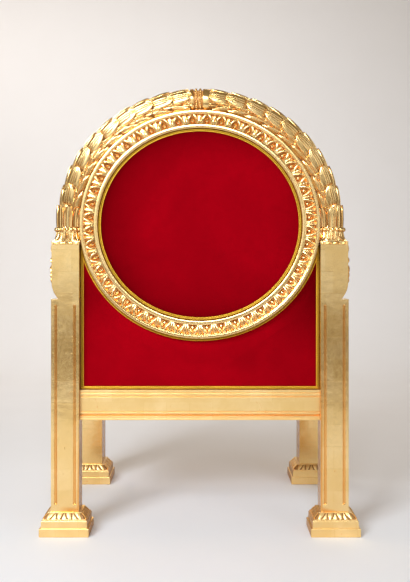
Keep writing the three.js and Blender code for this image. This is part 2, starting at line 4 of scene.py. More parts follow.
import bmesh
import bpy
import numpy as np
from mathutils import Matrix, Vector


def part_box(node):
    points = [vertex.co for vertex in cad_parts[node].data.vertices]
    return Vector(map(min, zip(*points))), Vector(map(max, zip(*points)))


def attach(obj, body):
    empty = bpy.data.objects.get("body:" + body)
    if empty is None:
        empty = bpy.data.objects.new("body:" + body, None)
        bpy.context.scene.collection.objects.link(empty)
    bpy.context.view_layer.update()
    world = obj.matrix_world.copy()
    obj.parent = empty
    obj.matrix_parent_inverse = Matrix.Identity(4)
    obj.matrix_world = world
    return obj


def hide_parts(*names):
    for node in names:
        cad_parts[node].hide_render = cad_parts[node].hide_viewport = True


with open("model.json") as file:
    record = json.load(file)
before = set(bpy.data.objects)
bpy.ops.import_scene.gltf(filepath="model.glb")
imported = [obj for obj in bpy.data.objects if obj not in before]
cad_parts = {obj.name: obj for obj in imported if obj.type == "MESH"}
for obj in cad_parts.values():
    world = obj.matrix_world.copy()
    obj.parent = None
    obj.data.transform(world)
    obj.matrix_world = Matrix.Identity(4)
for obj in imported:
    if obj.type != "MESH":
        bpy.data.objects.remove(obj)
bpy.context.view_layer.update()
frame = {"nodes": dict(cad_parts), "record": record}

bl_info = {
    "name": "Gilded laurel throne",
    "version": (1, 0, 0),
    "blender": (4, 5, 0),
    "location": "3D View > Sidebar > Throne",
    "description": "Carves, gilds and upholsters a round-backed throne around its CAD frame",
    "category": "Object",
}

MM = 0.001

# Places taken from the CAD frame.
RING_LOW, RING_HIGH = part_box("back_ring")
POST_LOW, POST_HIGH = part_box("rear_post_right")
REAR_Y = POST_LOW.y
RING_CENTRE_Z = (RING_LOW.z + RING_HIGH.z) / 2
RING_OUTER_X = RING_HIGH.x
RING_OUTER_Z = (RING_HIGH.z - RING_LOW.z) / 2
POST_DEPTH = POST_HIGH.y - POST_LOW.y
POST_CENTRE_Y = (POST_LOW.y + POST_HIGH.y) / 2
POST_INNER_X = POST_LOW.x
POST_TOP = POST_HIGH.z

SIDES = (("left", -1), ("right", 1))

# How much painted shade and orange reflection the flutes get, and how brown the inner sides of the joinery
# are painted.
FLUTE_SHADE = 0.5
INNER_SIDE_BROWN = 0.84
POST_INNER_SIDE_BROWN = 0.85

# Sizes of the carving, in metres.
POST_WIDTH = 101 * MM
POST_CENTRE_X = POST_INNER_X + POST_WIDTH / 2
RING_WIDTH = 64.7 * MM
INNER_FILLET = 17 * MM
LEAF_BAND_END = 51 * MM
RING_LEAVES = 48
LEDGE_Z = 848 * MM
SHOULDER_HEIGHT = 66 * MM
SHOULDER_DEPTH = 26 * MM
BLOCK_INSET = 1.5 * MM
FLUTE_RADIUS = 5.6 * MM
FLUTE_OFFSET = 34 * MM
FLUTE_SINK = 2 * MM
FLUTE_BOTTOM = 107 * MM
FLUTE_TOP = 829 * MM
LEG_FLUTE_TOP = 754 * MM
FOOT_OUT_X = 38.5 * MM
FOOT_OUT_Y = 29 * MM
FOOT_LEAVES = 4
BAND_TOP = 80.5 * MM
BAND_LOW = 61.5 * MM
BAND_OUT_TOP = 0.26
BAND_OUT_LOW = 0.68
BAND_SHADE = 0.88
RAIL_GROOVES = ((506.5, 5, 2.5), (493.5, 5, 3.5), (438, 4, 3.5), (426, 8, 6), (415, 2.5, 2))
WREATH_RADIUS_FOOT = 43 * MM
WREATH_RADIUS_TOP = 40 * MM
WREATH_ROWS = 9
WREATH_X = RING_OUTER_X + 0.4 * MM + WREATH_RADIUS_FOOT
WREATH_Z = RING_OUTER_Z + 0.4 * MM + WREATH_RADIUS_TOP
# Each lane of leaves: its turn round the branch, half its leaves' width, both in degrees, how
# many rows it runs ahead, and how far it is raised in millimetres.
LEAF_LANES = ((16, 26, 0.0, 0.0), (73, 31, 0.12, 1.8), (142, 27, -0.05, 0.0),
              (108, 14, 0.52, -1.6), (44, 13, 0.5, -3.0))
CALYX_ANGLE = math.radians(7.5)
CALYX_ROOT = -0.024
CALYX_LEAVES = 10
SKIRT_LEAVES = 12
FOOT_BEADS = 18
TIE_BEADS = 26
BINDING_ANGLE = math.radians(4.1)
BRAID_WIDTH = 12 * MM


# ---- Settings a user would change ----

def length(name, description, default, least, most):
    return bpy.props.FloatProperty(name=name, description=description, default=default,
                                   min=least, max=most, unit="LENGTH")


def colour(name, description, default):
    return bpy.props.FloatVectorProperty(name=name, description=description, default=default,
                                         size=3, min=0, max=1, subtype="COLOR")


class ThroneSizes(bpy.types.PropertyGroup):
    edge_softness: length("Edge softness", "Width of the rounding on gessoed and gilded edges",
                          1.3 * MM, 0.3 * MM, 3 * MM)
    camera_distance: length("Camera distance", "From the camera to the rear faces of the posts",
                            3.0, 1.5, 8)
    camera_height: length("Camera height", "Height of the camera above the floor", 1.025, 0.2, 3)


class ThroneColours(bpy.types.PropertyGroup):
    gold_light: colour("Gold, light leaf", "Fresh, burnished leaf", (1.0, 0.72, 0.34))
    gold_deep: colour("Gold, deep leaf", "Leaf that is thinner over its ground", (0.9, 0.6, 0.23))
    # Bole shows through real wear, and the same orange is painted into hollows as painted shade and
    # reflected light.
    bole_and_hollow_shade: colour("Bole", "Orange clay that shows in hollows and worn places", (0.83, 0.36, 0.075))
    # Painted shade: the near-black painted into the deepest cuts and under the carving.
    painted_crevice_shade: colour("Crevices", "Old dirt in the deepest cuts", (0.13, 0.055, 0.014))
    velvet: colour("Velvet", "Pile of the upholstery", (0.25, 0.0004, 0.0038))
    braid: colour("Braid", "Metal thread of the braid", (0.74, 0.43, 0.03))
    wood: colour("Wood", "Bare beech under the seat", (0.45, 0.28, 0.15))
    floor: colour("Studio floor", "Paper sweep under and behind the throne", (0.89, 0.871, 0.858))


# ---- Working by hand: selection, blocks, modifiers ----

def clear():
    if bpy.context.object is not None and bpy.context.object.mode != "OBJECT":
        bpy.ops.object.mode_set(mode="OBJECT")
    bpy.ops.object.select_all(action="DESELECT")


def focus(obj):
    clear()
    obj.select_set(True)
    bpy.context.view_layer.objects.active = obj
    return obj


def named(name):
    """Names the object just added, with its place moved into its mesh."""
    obj = bpy.context.object
    obj.name = name
    obj.data.name = name
    bpy.ops.object.transform_apply(location=True, rotation=True, scale=True)
    return obj


def edit(obj):
    focus(obj)
    bpy.ops.object.mode_set(mode="EDIT")
    bpy.ops.mesh.select_all(action="DESELECT")


def leave_edit():
    bpy.ops.object.mode_set(mode="OBJECT")


def pick(obj, test, kind="VERT"):
    """Selects the vertices or faces that pass a test, and says how many."""
    bpy.ops.mesh.select_mode(type=kind)
    bpy.ops.mesh.select_all(action="DESELECT")
    mesh = bmesh.from_edit_mesh(obj.data)
    items = mesh.verts if kind == "VERT" else mesh.faces
    found = [item for item in items if test(item)]
    for item in found:
        item.select_set(True)
    mesh.select_flush_mode()
    bmesh.update_edit_mesh(obj.data)
    return len(found)


def slide(x=0, y=0, z=0):
    bpy.ops.transform.translate(value=(x, y, z))


def grow(scale, centre):
    bpy.ops.transform.resize(value=scale, center_override=centre)


def cut_at(obj, point, normal):
    """Adds a ring of edges round the whole piece, at a plane."""
    bpy.ops.mesh.select_mode(type="FACE")
    select_all()
    bpy.ops.mesh.bisect(plane_co=point, plane_no=normal)


def select_all():
    bpy.ops.mesh.select_all(action="SELECT")


def extrude(x=0, y=0, z=0):
    bpy.ops.mesh.extrude_region_move(TRANSFORM_OT_translate={"value": (x, y, z)})


def inset(thickness):
    bpy.ops.mesh.inset(thickness=thickness, use_boundary=True, use_even_offset=True)


def block(name, low, high):
    clear()
    low, high = Vector(low), Vector(high)
    bpy.ops.mesh.primitive_cube_add(size=1, location=(low + high) / 2, scale=high - low)
    return named(name)


def ball(name, radius, segments, rings, **settings):
    clear()
    bpy.ops.mesh.primitive_uv_sphere_add(segments=segments, ring_count=rings, radius=radius,
                                         **settings)
    return named(name)


def outward(obj):
    """Merges doubles and turns every face of closed shells outward."""
    edit(obj)
    select_all()
    bpy.ops.mesh.remove_doubles(threshold=1e-6)
    bpy.ops.mesh.normals_make_consistent(inside=False)
    leave_edit()
    return obj


def modify(obj, kind, **settings):
    focus(obj)
    modifier = obj.modifiers.new(kind.lower(), kind)
    for key, value in settings.items():
        setattr(modifier, key, value)
    bpy.ops.object.modifier_apply(modifier=modifier.name)
    return obj


def soften(obj, width, segments=2, angle=30):
    modify(obj, "BEVEL", width=width, segments=segments, limit_method="ANGLE",
           angle_limit=math.radians(angle), use_clamp_overlap=True)
    return obj


def smooth(obj, angle=35):
    focus(obj)
    bpy.ops.object.shade_smooth_by_angle(angle=math.radians(angle))
    return obj


def join(name, pieces):
    clear()
    for piece in pieces:
        piece.select_set(True)
    bpy.context.view_layer.objects.active = pieces[0]
    if len(pieces) > 1:
        bpy.ops.object.join()
    pieces[0].name = name
    pieces[0].data.name = name
    return pieces[0]


def remove(obj):
    bpy.data.objects.remove(obj, do_unlink=True)


def carve(obj, cutters):
    for cutter in cutters:
        modify(obj, "BOOLEAN", operation="DIFFERENCE", object=cutter, solver="EXACT")
        remove(cutter)
    return obj


def coordinates(obj):
    co = np.empty(len(obj.data.vertices) * 3)
    obj.data.vertices.foreach_get("co", co)
    return co.reshape(-1, 3)


def set_coordinates(obj, co):
    obj.data.vertices.foreach_set("co", np.asarray(co, float).ravel())
    obj.data.update()


def xyz(x, y, z):
    """Rows of points from arrays or single numbers."""
    return np.column_stack(np.broadcast_arrays(x, y, z))


def mark(obj, name, values, least=0):
    """Keeps a value at each point for the paint. `hollow` goes from 0 on the crests to 1 in
    the deepest cuts and sets how much painted shade the gold gets, and the velvet's value
    goes from -1, painted shade, to 1, painted light."""
    found = obj.data.attributes.get(name)
    if found is None:
        found = obj.data.attributes.new(name, "FLOAT", "POINT")
    found.data.foreach_set("value", np.clip(np.asarray(values, np.float32), least, 1))


def turned_to(obj, direction, least=0.6):
    """The vertices of the faces that look along `direction`."""
    found = np.zeros(len(obj.data.vertices), bool)
    for face in obj.data.polygons:
        if face.normal.dot(direction) > least:
            found[list(face.vertices)] = True
    return found


def mesh_piece(name, points, faces, hollow=None):
    data = bpy.data.meshes.new(name)
    data.from_pydata([tuple(p) for p in points], [], faces)
    obj = bpy.data.objects.new(name, data)
    bpy.context.scene.collection.objects.link(obj)
    if hollow is not None:
        mark(obj, "hollow", hollow)
    return obj


def lay_copies(name, master, places, hollow=None):
    """Lays one copy of a carved unit at each place, with the copy's own points bent to
    the surface that carries it. A place turns the unit's flat points into points there."""
    flat = coordinates(master)
    shade = np.full(len(flat), hollow or 0, np.float32)
    if hollow is None:
        master.data.attributes["hollow"].data.foreach_get("value", shade)
    unit = [tuple(face.vertices) for face in master.data.polygons]
    faces = [tuple(v + i * len(flat) for v in face) for i in range(len(places)) for face in unit]
    points = np.vstack([place(flat) for place in places])
    return mesh_piece(name, points, faces, np.tile(shade, len(places)))


def loft(name, rings, looped=False, hollow=None):
    """A skin through closed rings of points, capped at both ends unless it is looped."""
    rings = np.asarray(rings, float)
    count, width = rings.shape[:2]
    faces = []
    for i in range(count if looped else count - 1):
        a, b = i * width, (i + 1) % count * width
        for j in range(width):
            k = (j + 1) % width
            faces.append((a + j, b + j, b + k, a + k))
    if not looped:
        faces.append(tuple(range(width)))
        faces.append(tuple(reversed(range((count - 1) * width, count * width))))
    return mesh_piece(name, rings.reshape(-1, 3), faces, hollow)


def finish_gilt(obj, node_name, leaf="plain", angle=35, joinery=False):
    """Smooths and gilds a piece. `joinery` keeps its broad faces flat up to their arrises."""
    outward(obj)
    smooth(obj, angle)
    if joinery:
        modify(obj, "WEIGHTED_NORMAL", keep_sharp=True, weight=100)
    obj.data.materials.clear()
    obj.data.materials.append(bpy.data.materials[f"gold_leaf_{leaf}"])
    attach(obj, "root")
    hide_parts(node_name)
    return obj


# ---- Materials ----

class Paint:
    """A material and the nodes it is mixed from. What a node is fed is a number, a colour
    or another node's socket."""

    def __init__(self, name):
        self.material = bpy.data.materials.new(name)
        self.material.use_nodes = True
        self.tree = self.material.node_tree
        self.tree.nodes.clear()
        self.shader = self.node("BsdfPrincipled")
        self.node("OutputMaterial", {"Surface": self.shader.outputs["BSDF"]})
        self.place = self.node("TexCoord").outputs["Object"]

    def feed(self, made, values):
        for key, value in values.items():
            socket = made.inputs[key]
            if isinstance(value, bpy.types.NodeSocket):
                self.tree.links.new(value, socket)
            else:
                socket.default_value = (*value, 1) if socket.type == "RGBA" else value

    def node(self, kind, values=None, **settings):
        made = self.tree.nodes.new("ShaderNode" + kind)
        row, column = divmod(len(self.tree.nodes), 6)
        made.location = (240 * column, -320 * row)
        for key, value in settings.items():
            setattr(made, key, value)
        self.feed(made, values or {})
        return made

    def mixed(self, factor, first, second):
        return self.node("Mix", {0: factor, 6: first, 7: second}, data_type="RGBA").outputs[2]

    def ramp(self, source, low, high, to_low=0.0, to_high=1.0):
        values = {"Value": source, "From Min": low, "From Max": high, "To Min": to_low,
                  "To Max": to_high}
        return self.node("MapRange", values, interpolation_type="SMOOTHSTEP").outputs["Result"]

    def noise(self, scale, detail=3.0, roughness=0.55, distortion=0.0, vector=None):
        values = {"Vector": vector or self.place, "Scale": scale, "Detail": detail,
                  "Roughness": roughness, "Distortion": distortion}
        return self.node("TexNoise", values).outputs["Fac"]

    def maths(self, operation, first, second):
        return self.node("Math", {0: first, 1: second}, operation=operation).outputs[0]

    def attribute(self, name):
        return self.node("Attribute", attribute_name=name).outputs["Fac"]

    def bump(self, strength, distance, height, **under):
        values = {"Strength": strength, "Distance": distance, "Height": height, **under}
        return self.node("Bump", values).outputs[0]

    def finish(self, values):
        self.feed(self.shader, values)
        return self.material


def gold_leaf(name, colours, squares, wear, wave, gloss_low):
    """Burnished gold leaf over orange bole. `squares` shows the laid leaves' overlaps,
    `wear` how much ground shows through, and `wave` how uneven the gesso lies. Hollows get
    painted shade and a painted orange reflection."""
    paint = Paint(name)
    split = paint.node("SeparateXYZ", {0: paint.place}).outputs
    across = paint.maths("ADD", split["X"], split["Y"])
    flat = paint.node("CombineXYZ", {"X": across, "Y": split["Z"]}).outputs[0]
    leaves = paint.node("TexBrick", {
        "Vector": flat, "Color1": (0.15,) * 3, "Color2": (0.85,) * 3, "Mortar": (0.95,) * 3,
        "Scale": 1.0, "Mortar Size": 0.0016, "Mortar Smooth": 0.6, "Bias": 0.0,
        "Brick Width": 0.083, "Row Height": 0.079}, offset=0.37, squash=1.0).outputs["Color"]
    cloud = paint.noise(9.0, 4.0, 0.6, 0.4)
    fine = paint.noise(85.0, 5.0, 0.65, 0.8)
    rub = paint.noise(26.0, 6.0, 0.7, 1.2)
    patch = paint.mixed(squares, (0.5,) * 3, leaves)
    tone = paint.maths("ADD", paint.maths("MULTIPLY", patch, 0.55),
                       paint.maths("MULTIPLY", cloud, 0.9))
    leaf = paint.mixed(paint.ramp(tone, 0.35, 1.0), colours.gold_light, colours.gold_deep)
    speck = paint.ramp(rub, 0.62, 0.74, 0.0, wear)
    worn = paint.mixed(speck, leaf, colours.bole_and_hollow_shade)
    # Painted shade: where `hollow` is marked, the leaf is painted orange towards the bole and, in the
    # deepest cuts, near black, for the shade and orange light that gold throws into its own hollows.
    deep = paint.attribute("hollow")
    shaded = paint.mixed(paint.ramp(deep, 0.1, 0.6, 0.0, 0.85), worn, colours.bole_and_hollow_shade)
    crevice_shaded = paint.mixed(paint.ramp(deep, 0.66, 1.0, 0.0, 0.92), shaded, colours.painted_crevice_shade)
    gloss = paint.maths("ADD", paint.ramp(fine, 0.3, 0.75, gloss_low, gloss_low + 0.08),
                        paint.maths("MULTIPLY", speck, 0.3))
    swell = paint.bump(0.5, wave, paint.noise(14.0, 2.0, 0.5, 0.3))
    crinkle = paint.maths("ADD", fine, paint.maths("MULTIPLY", patch, 0.4))
    return paint.finish({
        "Base Color": crevice_shaded, "Roughness": gloss, "Specular IOR Level": 0.25,
        "Metallic": paint.ramp(deep, 0.62, 0.85, 0.95, 0.05),
        "Normal": paint.bump(0.35, 0.0006, crinkle, Normal=swell)})


def velvet_cloth(name, colours):
    """Velvet with painted light and shade: lighter where the marked value is above 0 and darker where it is
    below.
    """
    paint = Paint(name)
    brushed = paint.noise(17.0, 4.0, 0.6, 1.5)
    pile = paint.noise(900.0, 2.0, 0.5)
    painted_light_and_shade = paint.attribute("painted_light_and_shade")
    base = np.array(colours.velvet)
    broad = paint.noise(2.6, 3.0, 0.5, 0.6)
    laid = paint.mixed(paint.ramp(broad, 0.3, 0.7), base * 0.88, base * 1.16)
    stroked = paint.mixed(paint.ramp(brushed, 0.35, 0.75, 0.0, 0.28), laid, base * 0.8)
    velvet_painted_lit = paint.mixed(paint.ramp(painted_light_and_shade, 0.0, 1.0), stroked, base * 2.2)
    velvet_painted_shade_share = paint.ramp(paint.maths("MULTIPLY", painted_light_and_shade, -1.0), 0.0, 1.0)
    velvet_painted_shaded = paint.mixed(velvet_painted_shade_share, velvet_painted_lit, base * 0.1)
    return paint.finish({
        "Base Color": velvet_painted_shaded, "Roughness": paint.ramp(pile, 0.2, 0.8, 0.82, 0.98),
        "Specular IOR Level": 0.0, "Sheen Weight": 0.08, "Sheen Roughness": 0.45,
        "Sheen Tint": (0.8, 0.0, 0.03),
        "Normal": paint.bump(0.5, 0.0006, paint.maths("ADD", pile, brushed))})


def braid_thread(name, colours):
    """Metal thread with painted shade: darker where the frame's shadow falls on its outer edge and in the
    hollows between its plaits.
    """
    paint = Paint(name)
    thread = paint.noise(420.0, 2.0, 0.5, 0.5)
    base = np.array(colours.braid)
    lit = paint.mixed(paint.ramp(paint.noise(12.0), 0.3, 0.7), base, np.minimum(base * 1.15, 1))
    shade = paint.mixed(paint.ramp(paint.attribute("hollow"), 0.1, 1.0), lit,
                        base * np.array([0.3, 0.26, 0.08]))
    return paint.finish({
        "Base Color": shade, "Roughness": paint.ramp(thread, 0.3, 0.7, 0.38, 0.6), "Metallic": 0.7,
        "Normal": paint.bump(0.4, 0.0003, thread)})


def bare_wood(name, colours):
    """Planed beech with its grain along X."""
    paint = Paint(name)
    turned = paint.node("Mapping", {"Scale": (1.2, 14.0, 14.0), "Vector": paint.place}).outputs[0]
    grain = paint.noise(5.0, 6.0, 0.6, 0.6, turned)
    pores = paint.noise(42.0, 3.0, 0.6, vector=turned)
    base = np.array(colours.wood)
    laid = paint.mixed(paint.ramp(grain, 0.3, 0.7), base, base * 0.68)
    return paint.finish({
        "Base Color": paint.mixed(paint.ramp(pores, 0.6, 0.7, 0.0, 0.5), laid, base * 0.5),
        "Roughness": 0.62, "Normal": paint.bump(0.4, 0.0006, pores)})


class THRONE_OT_finishes(bpy.types.Operator):
    """Mixes the gold leaf, velvet, braid and wood, and gives them to the CAD nodes"""
    bl_idname = "throne.finishes"
    bl_label = "Mix the finishes"

    def execute(self, context):
        colours = context.scene.throne_colours
        finishes = (("plain", 0.75, 0.5, 0.0018, 0.17), ("matte", 0.5, 0.6, 0.0012, 0.36),
                    ("carved", 0.0, 0.35, 0.0012, 0.17))
        for name, *values in finishes:
            gold_leaf(f"gold_leaf_{name}", colours, *values)
        slots = {"gilt_wood": bpy.data.materials["gold_leaf_plain"],
                 "red_velvet": velvet_cloth("crimson_velvet", colours),
                 "gold_braid": braid_thread("plaited_gold_thread", colours),
                 "seat_board_wood": bare_wood("bare_beech", colours)}
        given = {row["node"]: slots[row["material_slot"]] for row in frame["record"]["subparts"]}
        for name, obj in frame["nodes"].items():
            obj.data.materials.clear()
            obj.data.materials.append(given[name])
        return {"FINISHED"}


# ---- Carved units, modelled flat: X from root to tip, Y across, Z up from the ground ----

def rows_of(obj, axis):
    return sorted({round(v.co[axis], 6) for v in obj.data.vertices})


def carved_leaf(name, outline, lift, section, depth, columns, relief=None, length=1.0,
                width=1.0, root_shade=0.0, underside_shade=1.0):
    """A leaf carved from a grid: each column is raised or sunk by the section, each row is
    drawn in to the outline and lifted, and the whole is given its thickness. The heights are
    in millimetres, and a leaf is one unit long and wide unless it is given a size."""
    depth, lift = depth * MM, [up * MM for up in lift]
    section = [(across, up * MM) for across, up in section]
    clear()
    bpy.ops.mesh.primitive_grid_add(x_subdivisions=len(outline) - 1, y_subdivisions=columns,
                                    size=1, location=(0.5, 0, 0))
    leaf = named(name)
    relief = relief or [min(1.0, 0.4 + half) for half in outline]
    stations, lanes = rows_of(leaf, 0), rows_of(leaf, 1)
    edit(leaf)
    for lane in lanes:
        rise = np.interp(abs(lane) * 2, *zip(*section))
        pick(leaf, lambda v: abs(v.co.y - lane) < 1e-5)
        slide(z=float(rise))
    for station, half, cut in zip(stations, outline, relief):
        up = float(np.interp(station, np.linspace(0, 1, len(lift)), lift))
        pick(leaf, lambda v: abs(v.co.x - station) < 1e-5)
        grow((1, half, cut), (station, 0, 0))
        slide(z=up)
    select_all()
    grow((length, width, 1), (0, 0, 0))
    select_all()
    extrude(z=-depth)
    select_all()
    bpy.ops.mesh.normals_make_consistent(inside=False)
    leave_edit()
    co = coordinates(leaf)
    share = co[:, 0] / length
    at = np.linspace(0, 1, len(outline))
    halves = np.interp(share, at, outline) * width / 2
    across = np.clip(np.abs(co[:, 1]) / np.maximum(halves, 1e-6), 0, 1)
    cut, weight = np.interp(across, *zip(*section)), np.interp(share, at, relief)
    ideal = cut * weight + np.interp(share, np.linspace(0, 1, len(lift)), lift)
    under = co[:, 2] < ideal - depth * 0.5
    heights = [z for _, z in section]
    sunk = (max(heights) - cut) / max(max(heights) - min(heights), 1e-6) * weight
    # Painted shade: darkest on the underside and walls, darker on the sunk parts of the face, and darker at
    # the root, under the tip of the leaf before.
    root = np.clip((0.4 - share) / 0.12, 0, 1) * root_shade
    mark(leaf, "hollow", np.where(under, underside_shade, np.maximum(np.clip(sunk, 0, 1) * 0.5, root)))
    return leaf


def berry(name, radius, segments=10, rings=7):
    bead = ball(name, radius, segments, rings)
    co = coordinates(bead)
    # Painted shade, darker on the lower side, toward what the bead sits on.
    mark(bead, "hollow", np.clip(-co[:, 2] / radius, 0, 1))
    return bead


def laurel_leaf():
    return carved_leaf(
        "laurel_leaf", (0.6, 0.78, 0.9, 0.97, 1.0, 1.0, 0.99, 0.96, 0.9, 0.8, 0.64, 0.36),
        (-11.5, -9.0, -6.2, -3.2, -1.2, 0.0, 1.0, 1.4, 0.8),
        ((0, 1.0), (0.09, 1.0), (0.17, -1.2), (0.26, 0.9), (0.46, 1.5), (0.55, -0.7), (0.64, 1.0),
         (0.86, 1.0), (1, -2.4)), 4, 24, root_shade=0.95)


def tongue_leaf():
    return carved_leaf(
        "tongue_leaf", (0.94, 0.96, 0.98, 1.0, 1.0, 0.97, 0.9, 0.74, 0.42),
        (-2.0, -1.5, -0.8, -0.2, 0.6, 1.6, 2.0),
        ((0, 2.0), (0.14, 1.6), (0.3, -0.6), (0.62, 0.4), (0.86, 1.4), (1, -0.6)), 5, 12)


def heart_leaf():
    """The leaf of the leaf-and-dart band: its raised edges arch over the hollows beside
    it and run together at the tip, with a rib between two scooped halves."""
    return carved_leaf(
        "heart_leaf", (1.0, 0.96, 0.85, 0.74, 0.64, 0.56, 0.49, 0.44, 0.4, 0.37),
        (-2.0, 0.0, 0.8, 1.2, 1.2, 0.4, -1.0),
        ((0, 0.8), (0.09, 0.5), (0.17, -4.8), (0.42, -5.2), (0.56, 0.6), (0.72, 1.8), (0.9, 1.5),
         (1, -0.6)), 16, 24, (1.0, 1.0, 1.0, 0.95, 0.85, 0.7, 0.5, 0.32, 0.18, 0.1),
        underside_shade=0.78)


def dart():
    """The bud that fills a hollow: blunt toward the opening, drawn out to a point."""
    bud = ball("dart", 1, 14, 10, rotation=(0, math.pi / 2, 0))
    edit(bud)
    pick(bud, lambda v: v.co.x < -0.2)
    grow((1.7, 0.72, 0.85), (-0.2, 0, 0))
    pick(bud, lambda v: v.co.x < -1.0)
    grow((1.1, 0.5, 0.7), (-1.0, 0, 0))
    leave_edit()
    co = coordinates(bud)
    # Painted shade, darker on the side that sinks into the hollow.
    mark(bud, "hollow", np.clip(0.4 - co[:, 2] * 0.6, 0, 0.7))
    return bud


# ---- Posts and legs ----

def flute_cutter(x, y, bottom, top):
    """A round-ended cutter: a ball drawn out in height."""
    cutter = ball("flute_cutter", FLUTE_RADIUS, 20, 12, location=(x, y, bottom + FLUTE_RADIUS))
    edit(cutter)
    pick(cutter, lambda v: v.co.z > bottom + FLUTE_RADIUS + 1e-6)
    slide(z=top - bottom - 2 * FLUTE_RADIUS)
    leave_edit()
    return cutter


def shape_upper_block(post, outer, side):
    """Steps the outer side in at the ledge and rounds it out again to the block's side."""
    edit(post)
    shares = [(i / 12) ** 1.4 for i in range(13)]
    levels = [LEDGE_Z + 0.4 * MM + SHOULDER_HEIGHT * share for share in shares]
    for level in [LEDGE_Z] + levels:
        cut_at(post, (0, 0, level), (0, 0, 1))
    for level, share in zip(levels, shares):
        step_in = BLOCK_INSET + (SHOULDER_DEPTH - BLOCK_INSET) * (1 - share) ** 2.4
        pick(post, lambda v: abs(v.co.x - outer) < 1e-5 and abs(v.co.z - level) < 1e-5)
        slide(x=-side * step_in)
    pick(post, lambda v: abs(v.co.x - outer) < 1e-5 and v.co.z > levels[-1] + 1e-5)
    slide(x=-side * BLOCK_INSET)
    leave_edit()


def rosette(side, face_x, z):
    """Eight petals round a button, on the outer side of a post."""
    petal = carved_leaf(
        "petal", (0.35, 0.6, 0.85, 1.0, 1.0, 0.8, 0.45), (1, 3.5, 5, 5.6, 5.2, 3.6),
        ((0, -1.2), (0.4, -0.4), (0.8, 0.8), (1, 0)), 4, 8, length=14 * MM, width=11 * MM)

    def around(turn):
        def place(flat):
            reach, across, up = flat[:, 0] + 3.5 * MM, flat[:, 1], flat[:, 2]
            y = reach * math.cos(turn) - across * math.sin(turn)
            h = reach * math.sin(turn) + across * math.cos(turn)
            return xyz(face_x + side * (up + 0.5 * MM), POST_CENTRE_Y + y, z + h)
        return place

    petals = lay_copies("petals", petal, [around(i * math.pi / 4) for i in range(8)])
    remove(petal)
    button = ball("button", 5.5 * MM, 16, 10, location=(face_x + side * 4 * MM, POST_CENTRE_Y, z))
    clear()
    bpy.ops.mesh.primitive_torus_add(major_radius=19 * MM, minor_radius=2.2 * MM,
                                     major_segments=36, minor_segments=8,
                                     location=(face_x + side * 0.5 * MM, POST_CENTRE_Y, z),
                                     rotation=(0, math.pi / 2, 0))
    return [petals, button, named("rim")]


def hanging_leaf(side, face_x):
    """A pendant of lobed leaves, widest at its shoulders, under the rosette."""
    lobe = carved_leaf(
        "lobe", (0.5, 0.75, 0.95, 1.0, 0.9, 0.68, 0.3), (1, 4, 6, 7, 7.2, 6, 4),
        ((0, 1.2), (0.15, 0.6), (0.4, -1.0), (0.8, 0.2), (1, -1.0)), 6, 10)
    lobes = [
        (0, 976, 0, 78, 19), (8, 972, 38, 34, 16), (-8, 972, -38, 34, 16),
        (6, 952, 30, 32, 15), (-6, 952, -30, 32, 15), (4, 932, 22, 28, 12),
        (-4, 932, -22, 28, 12), (0, 1006, 0, 34, 12), (7, 1002, 30, 26, 10),
        (-7, 1002, -30, 26, 10),
    ]

    def at(y, z, degrees, length, width):
        turn = math.radians(degrees)

        def place(flat):
            along, across = flat[:, 0] * length * MM, flat[:, 1] * width * MM
            dy = along * math.sin(turn) + across * math.cos(turn)
            dz = -along * math.cos(turn) + across * math.sin(turn)
            rise = np.minimum(flat[:, 2], 8.2 * MM)
            return xyz(face_x + side * rise, POST_CENTRE_Y + y * MM + dy, z * MM + dz)
        return place

    leaves = lay_copies("hanging_leaf", lobe, [at(*row) for row in lobes])
    remove(lobe)
    return leaves


def cut_flutes(piece, side, face_y, inward, top, softness):
    """Cuts two round-ended flutes into a face, softens the piece, and gives its points with
    those that lie in the flutes. `inward` is 1 when the piece lies beyond the face along Y."""
    middle = side * POST_CENTRE_X
    carve(piece, [flute_cutter(middle + offset, face_y - inward * FLUTE_SINK, FLUTE_BOTTOM, top)
                  for offset in (-FLUTE_OFFSET, FLUTE_OFFSET)])
    soften(piece, softness)
    co = coordinates(piece)
    near = np.abs(np.abs(co[:, 0] - middle) - FLUTE_OFFSET) < FLUTE_RADIUS
    depth = (co[:, 1] - face_y) * inward
    return co, near & (depth > 1.8 * MM) & (depth < 8 * MM)


def rear_post(name, side, softness):
    inner, outer = side * POST_INNER_X, side * (POST_INNER_X + POST_WIDTH)
    low = (min(inner, outer), REAR_Y, POST_LOW.z)
    high = (max(inner, outer), REAR_Y + POST_DEPTH, POST_TOP)
    post = block("post", low, high)
    shape_upper_block(post, outer, side)
    co, fluted = cut_flutes(post, side, REAR_Y, 1, FLUTE_TOP, softness)
    inner_side = (np.abs(co[:, 0] - inner) < 0.2 * MM) & (co[:, 2] < LEDGE_Z)
    # Painted shade and orange reflection in the flutes; the inner side below the ledge is painted brown.
    mark(post, "hollow", np.maximum(fluted * FLUTE_SHADE, inner_side * POST_INNER_SIDE_BROWN))
    face_x = side * (POST_CENTRE_X + POST_WIDTH / 2 - BLOCK_INSET)
    carving = rosette(side, face_x, 1030 * MM) + [hanging_leaf(side, face_x)]
    return join(f"carved_rear_post_{name}", [post] + carving)


def front_leg(name, side, softness):
    low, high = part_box(f"front_leg_{name}")
    leg = block("leg", low, high)
    co, fluted = cut_flutes(leg, side, high.y, -1, LEG_FLUTE_TOP, softness)
    inner_side = np.abs(np.abs(co[:, 0]) - POST_INNER_X) < 0.2 * MM
    # Painted shade and orange reflection in the flutes; the inner sides are painted brown.
    mark(leg, "hollow", np.maximum(fluted * FLUTE_SHADE, inner_side * INNER_SIDE_BROWN))
    leg.name = f"fluted_front_leg_{name}"
    return leg


